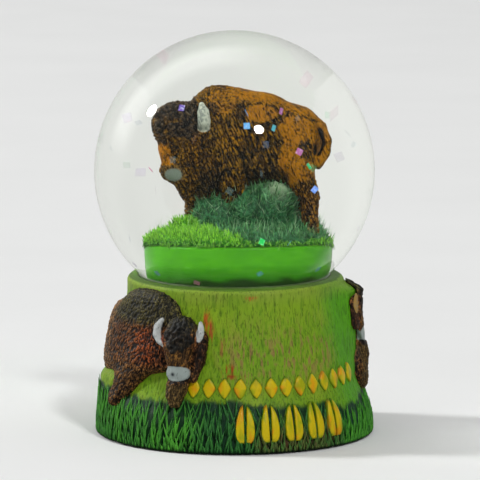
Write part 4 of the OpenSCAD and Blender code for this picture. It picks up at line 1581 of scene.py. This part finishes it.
# %% Film finish
film, graph, shader = new_finish("iridescent_film", {"Specular IOR Level": 0.6, "IOR": 1.5})
tint = graph.stored("paint", "Color")
sheen = grain(graph, 0.5, 2.0, (1, 1, 1), 0.8)
graph.feed(shader, "Base Color", graph.mixed(tint, rgba(226, 240, 250), ((sheen - 0.52) * 2.2).clamped()))
graph.feed(shader, "Alpha", tint.output("Alpha"))
wear(graph, shader, sheen, 0.12, 0.3)
bump(graph, shader, sheen, 0.02)
flake_thickness = 0.07
film_shades = [(70, 150, 214), (84, 186, 200), (52, 204, 116), (150, 92, 190), (222, 120, 170),
               (60, 170, 190)]
# Painted glint: the flakes that glint, listed by their angle from the front and their height as a share of
# the ball's radius, with their colour.
glinting = [(6, 0.44, (78, 160, 222)), (19, 0.42, (84, 186, 204)), (36, 0.13, (58, 206, 130)),
           (-41, 0.10, (232, 128, 176)), (31, 0.24, (170, 92, 160)), (13, -0.40, (34, 214, 96)),
           (27, -0.42, (84, 150, 214)), (39, -0.04, (96, 128, 196)), (-32, 0.52, (92, 62, 160)),
           (28, 0.50, (176, 96, 170)), (7, 0.50, (142, 96, 180)), (-22, -0.85, (60, 190, 140)),
           (-3, -0.85, (92, 206, 190)), (13, -0.85, (50, 200, 150))]


def glitter(name, node, rides, faint, seed):
    """One body's flakes as a piece."""
    chance = np.random.default_rng(seed)
    middles, normals, sides, widths = zip(*flakes_of(node))
    paint = []
    for middle in middles:
        angle = math.degrees(math.atan2(middle[0], -middle[1]))
        share = (middle[2] - ball_z) / bore_r
        # Painted glint: a listed flake is opaque in its colour, and the others are painted nearly clear.
        known = [c for a, h, c in glinting if abs(a - angle) < 3 and abs(h - share) < 0.06]
        shade = known[0] if known else film_shades[int(chance.integers(len(film_shades)))]
        paint.append([*tone(*shade), 1.0 if known else faint])
    grow = np.array([[0.98 * width, 0.98 * width, flake_thickness] for width in widths])
    seeds = {"place": np.array(middles), "rise": np.array(normals), "out": np.array(sides), "grow": grow,
             "paint": np.array(paint)}
    piece = grown(name, films_on_points, seeds,
                  {"Bend": 0.4, "Unevenness": 0.12, "Seed": seed, "Finish": film})
    settle(piece, "glitter_film", node, rides=rides)


glitter("swirling_flakes_film", "swirling_glitter", "swirling_flakes", 0.07, 101)
glitter("sinking_flakes_film", "sinking_glitter", "sinking_flakes", 0.07, 102)
glitter("resting_flakes_film", "resting_glitter", body, 0.35, 103)

# %% [markdown]
# ## Floor, light and camera
# A souvenir is shown on pale paper under two softboxes. The paper is one wide plane, the lamps
# are discs that leave two round highlights on the glass, and the world fills in evenly. The glass must
# see a pale studio whichever way it bends a ray, so the world looks brighter to rays that look at it
# than it shines on matt paint. The room behind the camera is dark, so mirrored rays see light only from
# behind the object, most of it from a tall window at the left that draws pale arcs on the ball.

# %% Floor
paper_r = 2500
floor = new_piece("floor", [(-paper_r, -paper_r, 0), (paper_r, -paper_r, 0), (paper_r, paper_r, 0),
                            (-paper_r, paper_r, 0)], [(0, 1, 2, 3)])
material, graph, shader = new_finish("paper", {"Specular IOR Level": 0.1})
graph.feed(shader, "Base Color", ramp(graph, grain(graph, 60.0), (0.3, (0.82, 0.825, 0.82, 1)),
                                      (0.7, (0.84, 0.845, 0.84, 1))))
wear(graph, shader, grain(graph, 2.0), 0.75, 0.85)
studio_tint = (0.99, 1.0, 0.962)


def studio_look(graph, direction, kind):
    """What rays that pass through glass see, brighter on one side, and what mirrored rays see."""
    side = graph.node("ShaderNodeSeparateXYZ", {}, {0: direction}, "X")
    back, up = side.output("Y"), side.output("Z")
    behind = (back * 2.5).clamped()
    window = ((back - 0.15) * 5).clamped() * ((0.72 - back) * 6).clamped()
    window = window * ((0.25 - side) * 2.5).clamped() * ((up - 0.05) * 5).clamped()
    looks = []
    for strength in (0.81 - 0.07 * side, 0.06 + 0.64 * behind + 1.7 * window):
        looks.append(graph.node(kind, {}, {"Color": graph.scaled(studio_tint, strength)}))
    return looks


direction = graph.node("ShaderNodeVectorMath", {"operation": "NORMALIZE"}, {0: graph.place()})
seen, mirrored = studio_look(graph, direction, "ShaderNodeEmission")
ways = graph.node("ShaderNodeLightPath", {}, {}, "Is Transmission Ray")
through = graph.chosen(ways, Wire(graph, shader.outputs[0]), seen)
graph.feed(material.node_tree.nodes["Material Output"], "Surface",
           graph.chosen(ways.output("Is Glossy Ray") * (1 - ways), through, mirrored))
floor.data.materials.append(material)

# %% World and lamps
world = bpy.data.worlds.new("studio")
world.use_nodes = True
bpy.context.scene.world = world
graph = Graph(world.node_tree)
ways = graph.node("ShaderNodeLightPath", {}, {}, "Is Camera Ray")
fill = graph.node("ShaderNodeBackground", {}, {"Color": (1.0, 1.0, 1.0, 1), "Strength": 0.36})
seen, mirrored = studio_look(graph, graph.place(), "ShaderNodeBackground")
passing = ways.output("Is Transmission Ray")
looking = (ways + passing).clamped()
through = graph.chosen(looking, fill, seen)
graph.feed(world.node_tree.nodes["World Output"], "Surface",
           graph.chosen(ways.output("Is Glossy Ray") * (1 - passing), through, mirrored))

aim = Vector((1.28 * MM, 0, 44.8 * MM))
lamp_distance = 5.2
lamp_r = 0.338


def softbox(name, towards, power):
    """A disc lamp in a direction from the object, facing it."""
    lamp = bpy.data.lights.new(name, "AREA")
    lamp.shape = "DISK"
    lamp.size = 2 * lamp_r
    lamp.energy = power
    holder = in_scene(name, lamp)
    holder.location = aim + Vector(towards).normalized() * lamp_distance
    holder.rotation_euler = (aim - holder.location).to_track_quat("-Z", "Y").to_euler()
    print(name, "shines with", power, "W from", [round(v, 2) for v in holder.location])


softbox("key_softbox", (-0.808, 0.113, 0.578), 162.0)
softbox("front_softbox", (0.323, -0.69, 0.648), 115.0)

# %% Camera
distance = 1.2
elevation = math.radians(8.5)
frame_width = 0.1114
eye = bpy.data.cameras.new("camera")
camera = in_scene("camera", eye)
camera.location = aim + distance * Vector((0, -math.cos(elevation), math.sin(elevation)))
camera.rotation_euler = (aim - camera.location).to_track_quat("-Z", "Y").to_euler()
eye.sensor_width = 36
eye.lens = eye.sensor_width * distance / frame_width
eye.clip_end = 20
bpy.context.scene.camera = camera
bpy.context.scene.view_settings.view_transform = "Standard"
print("lens", round(eye.lens), "mm")
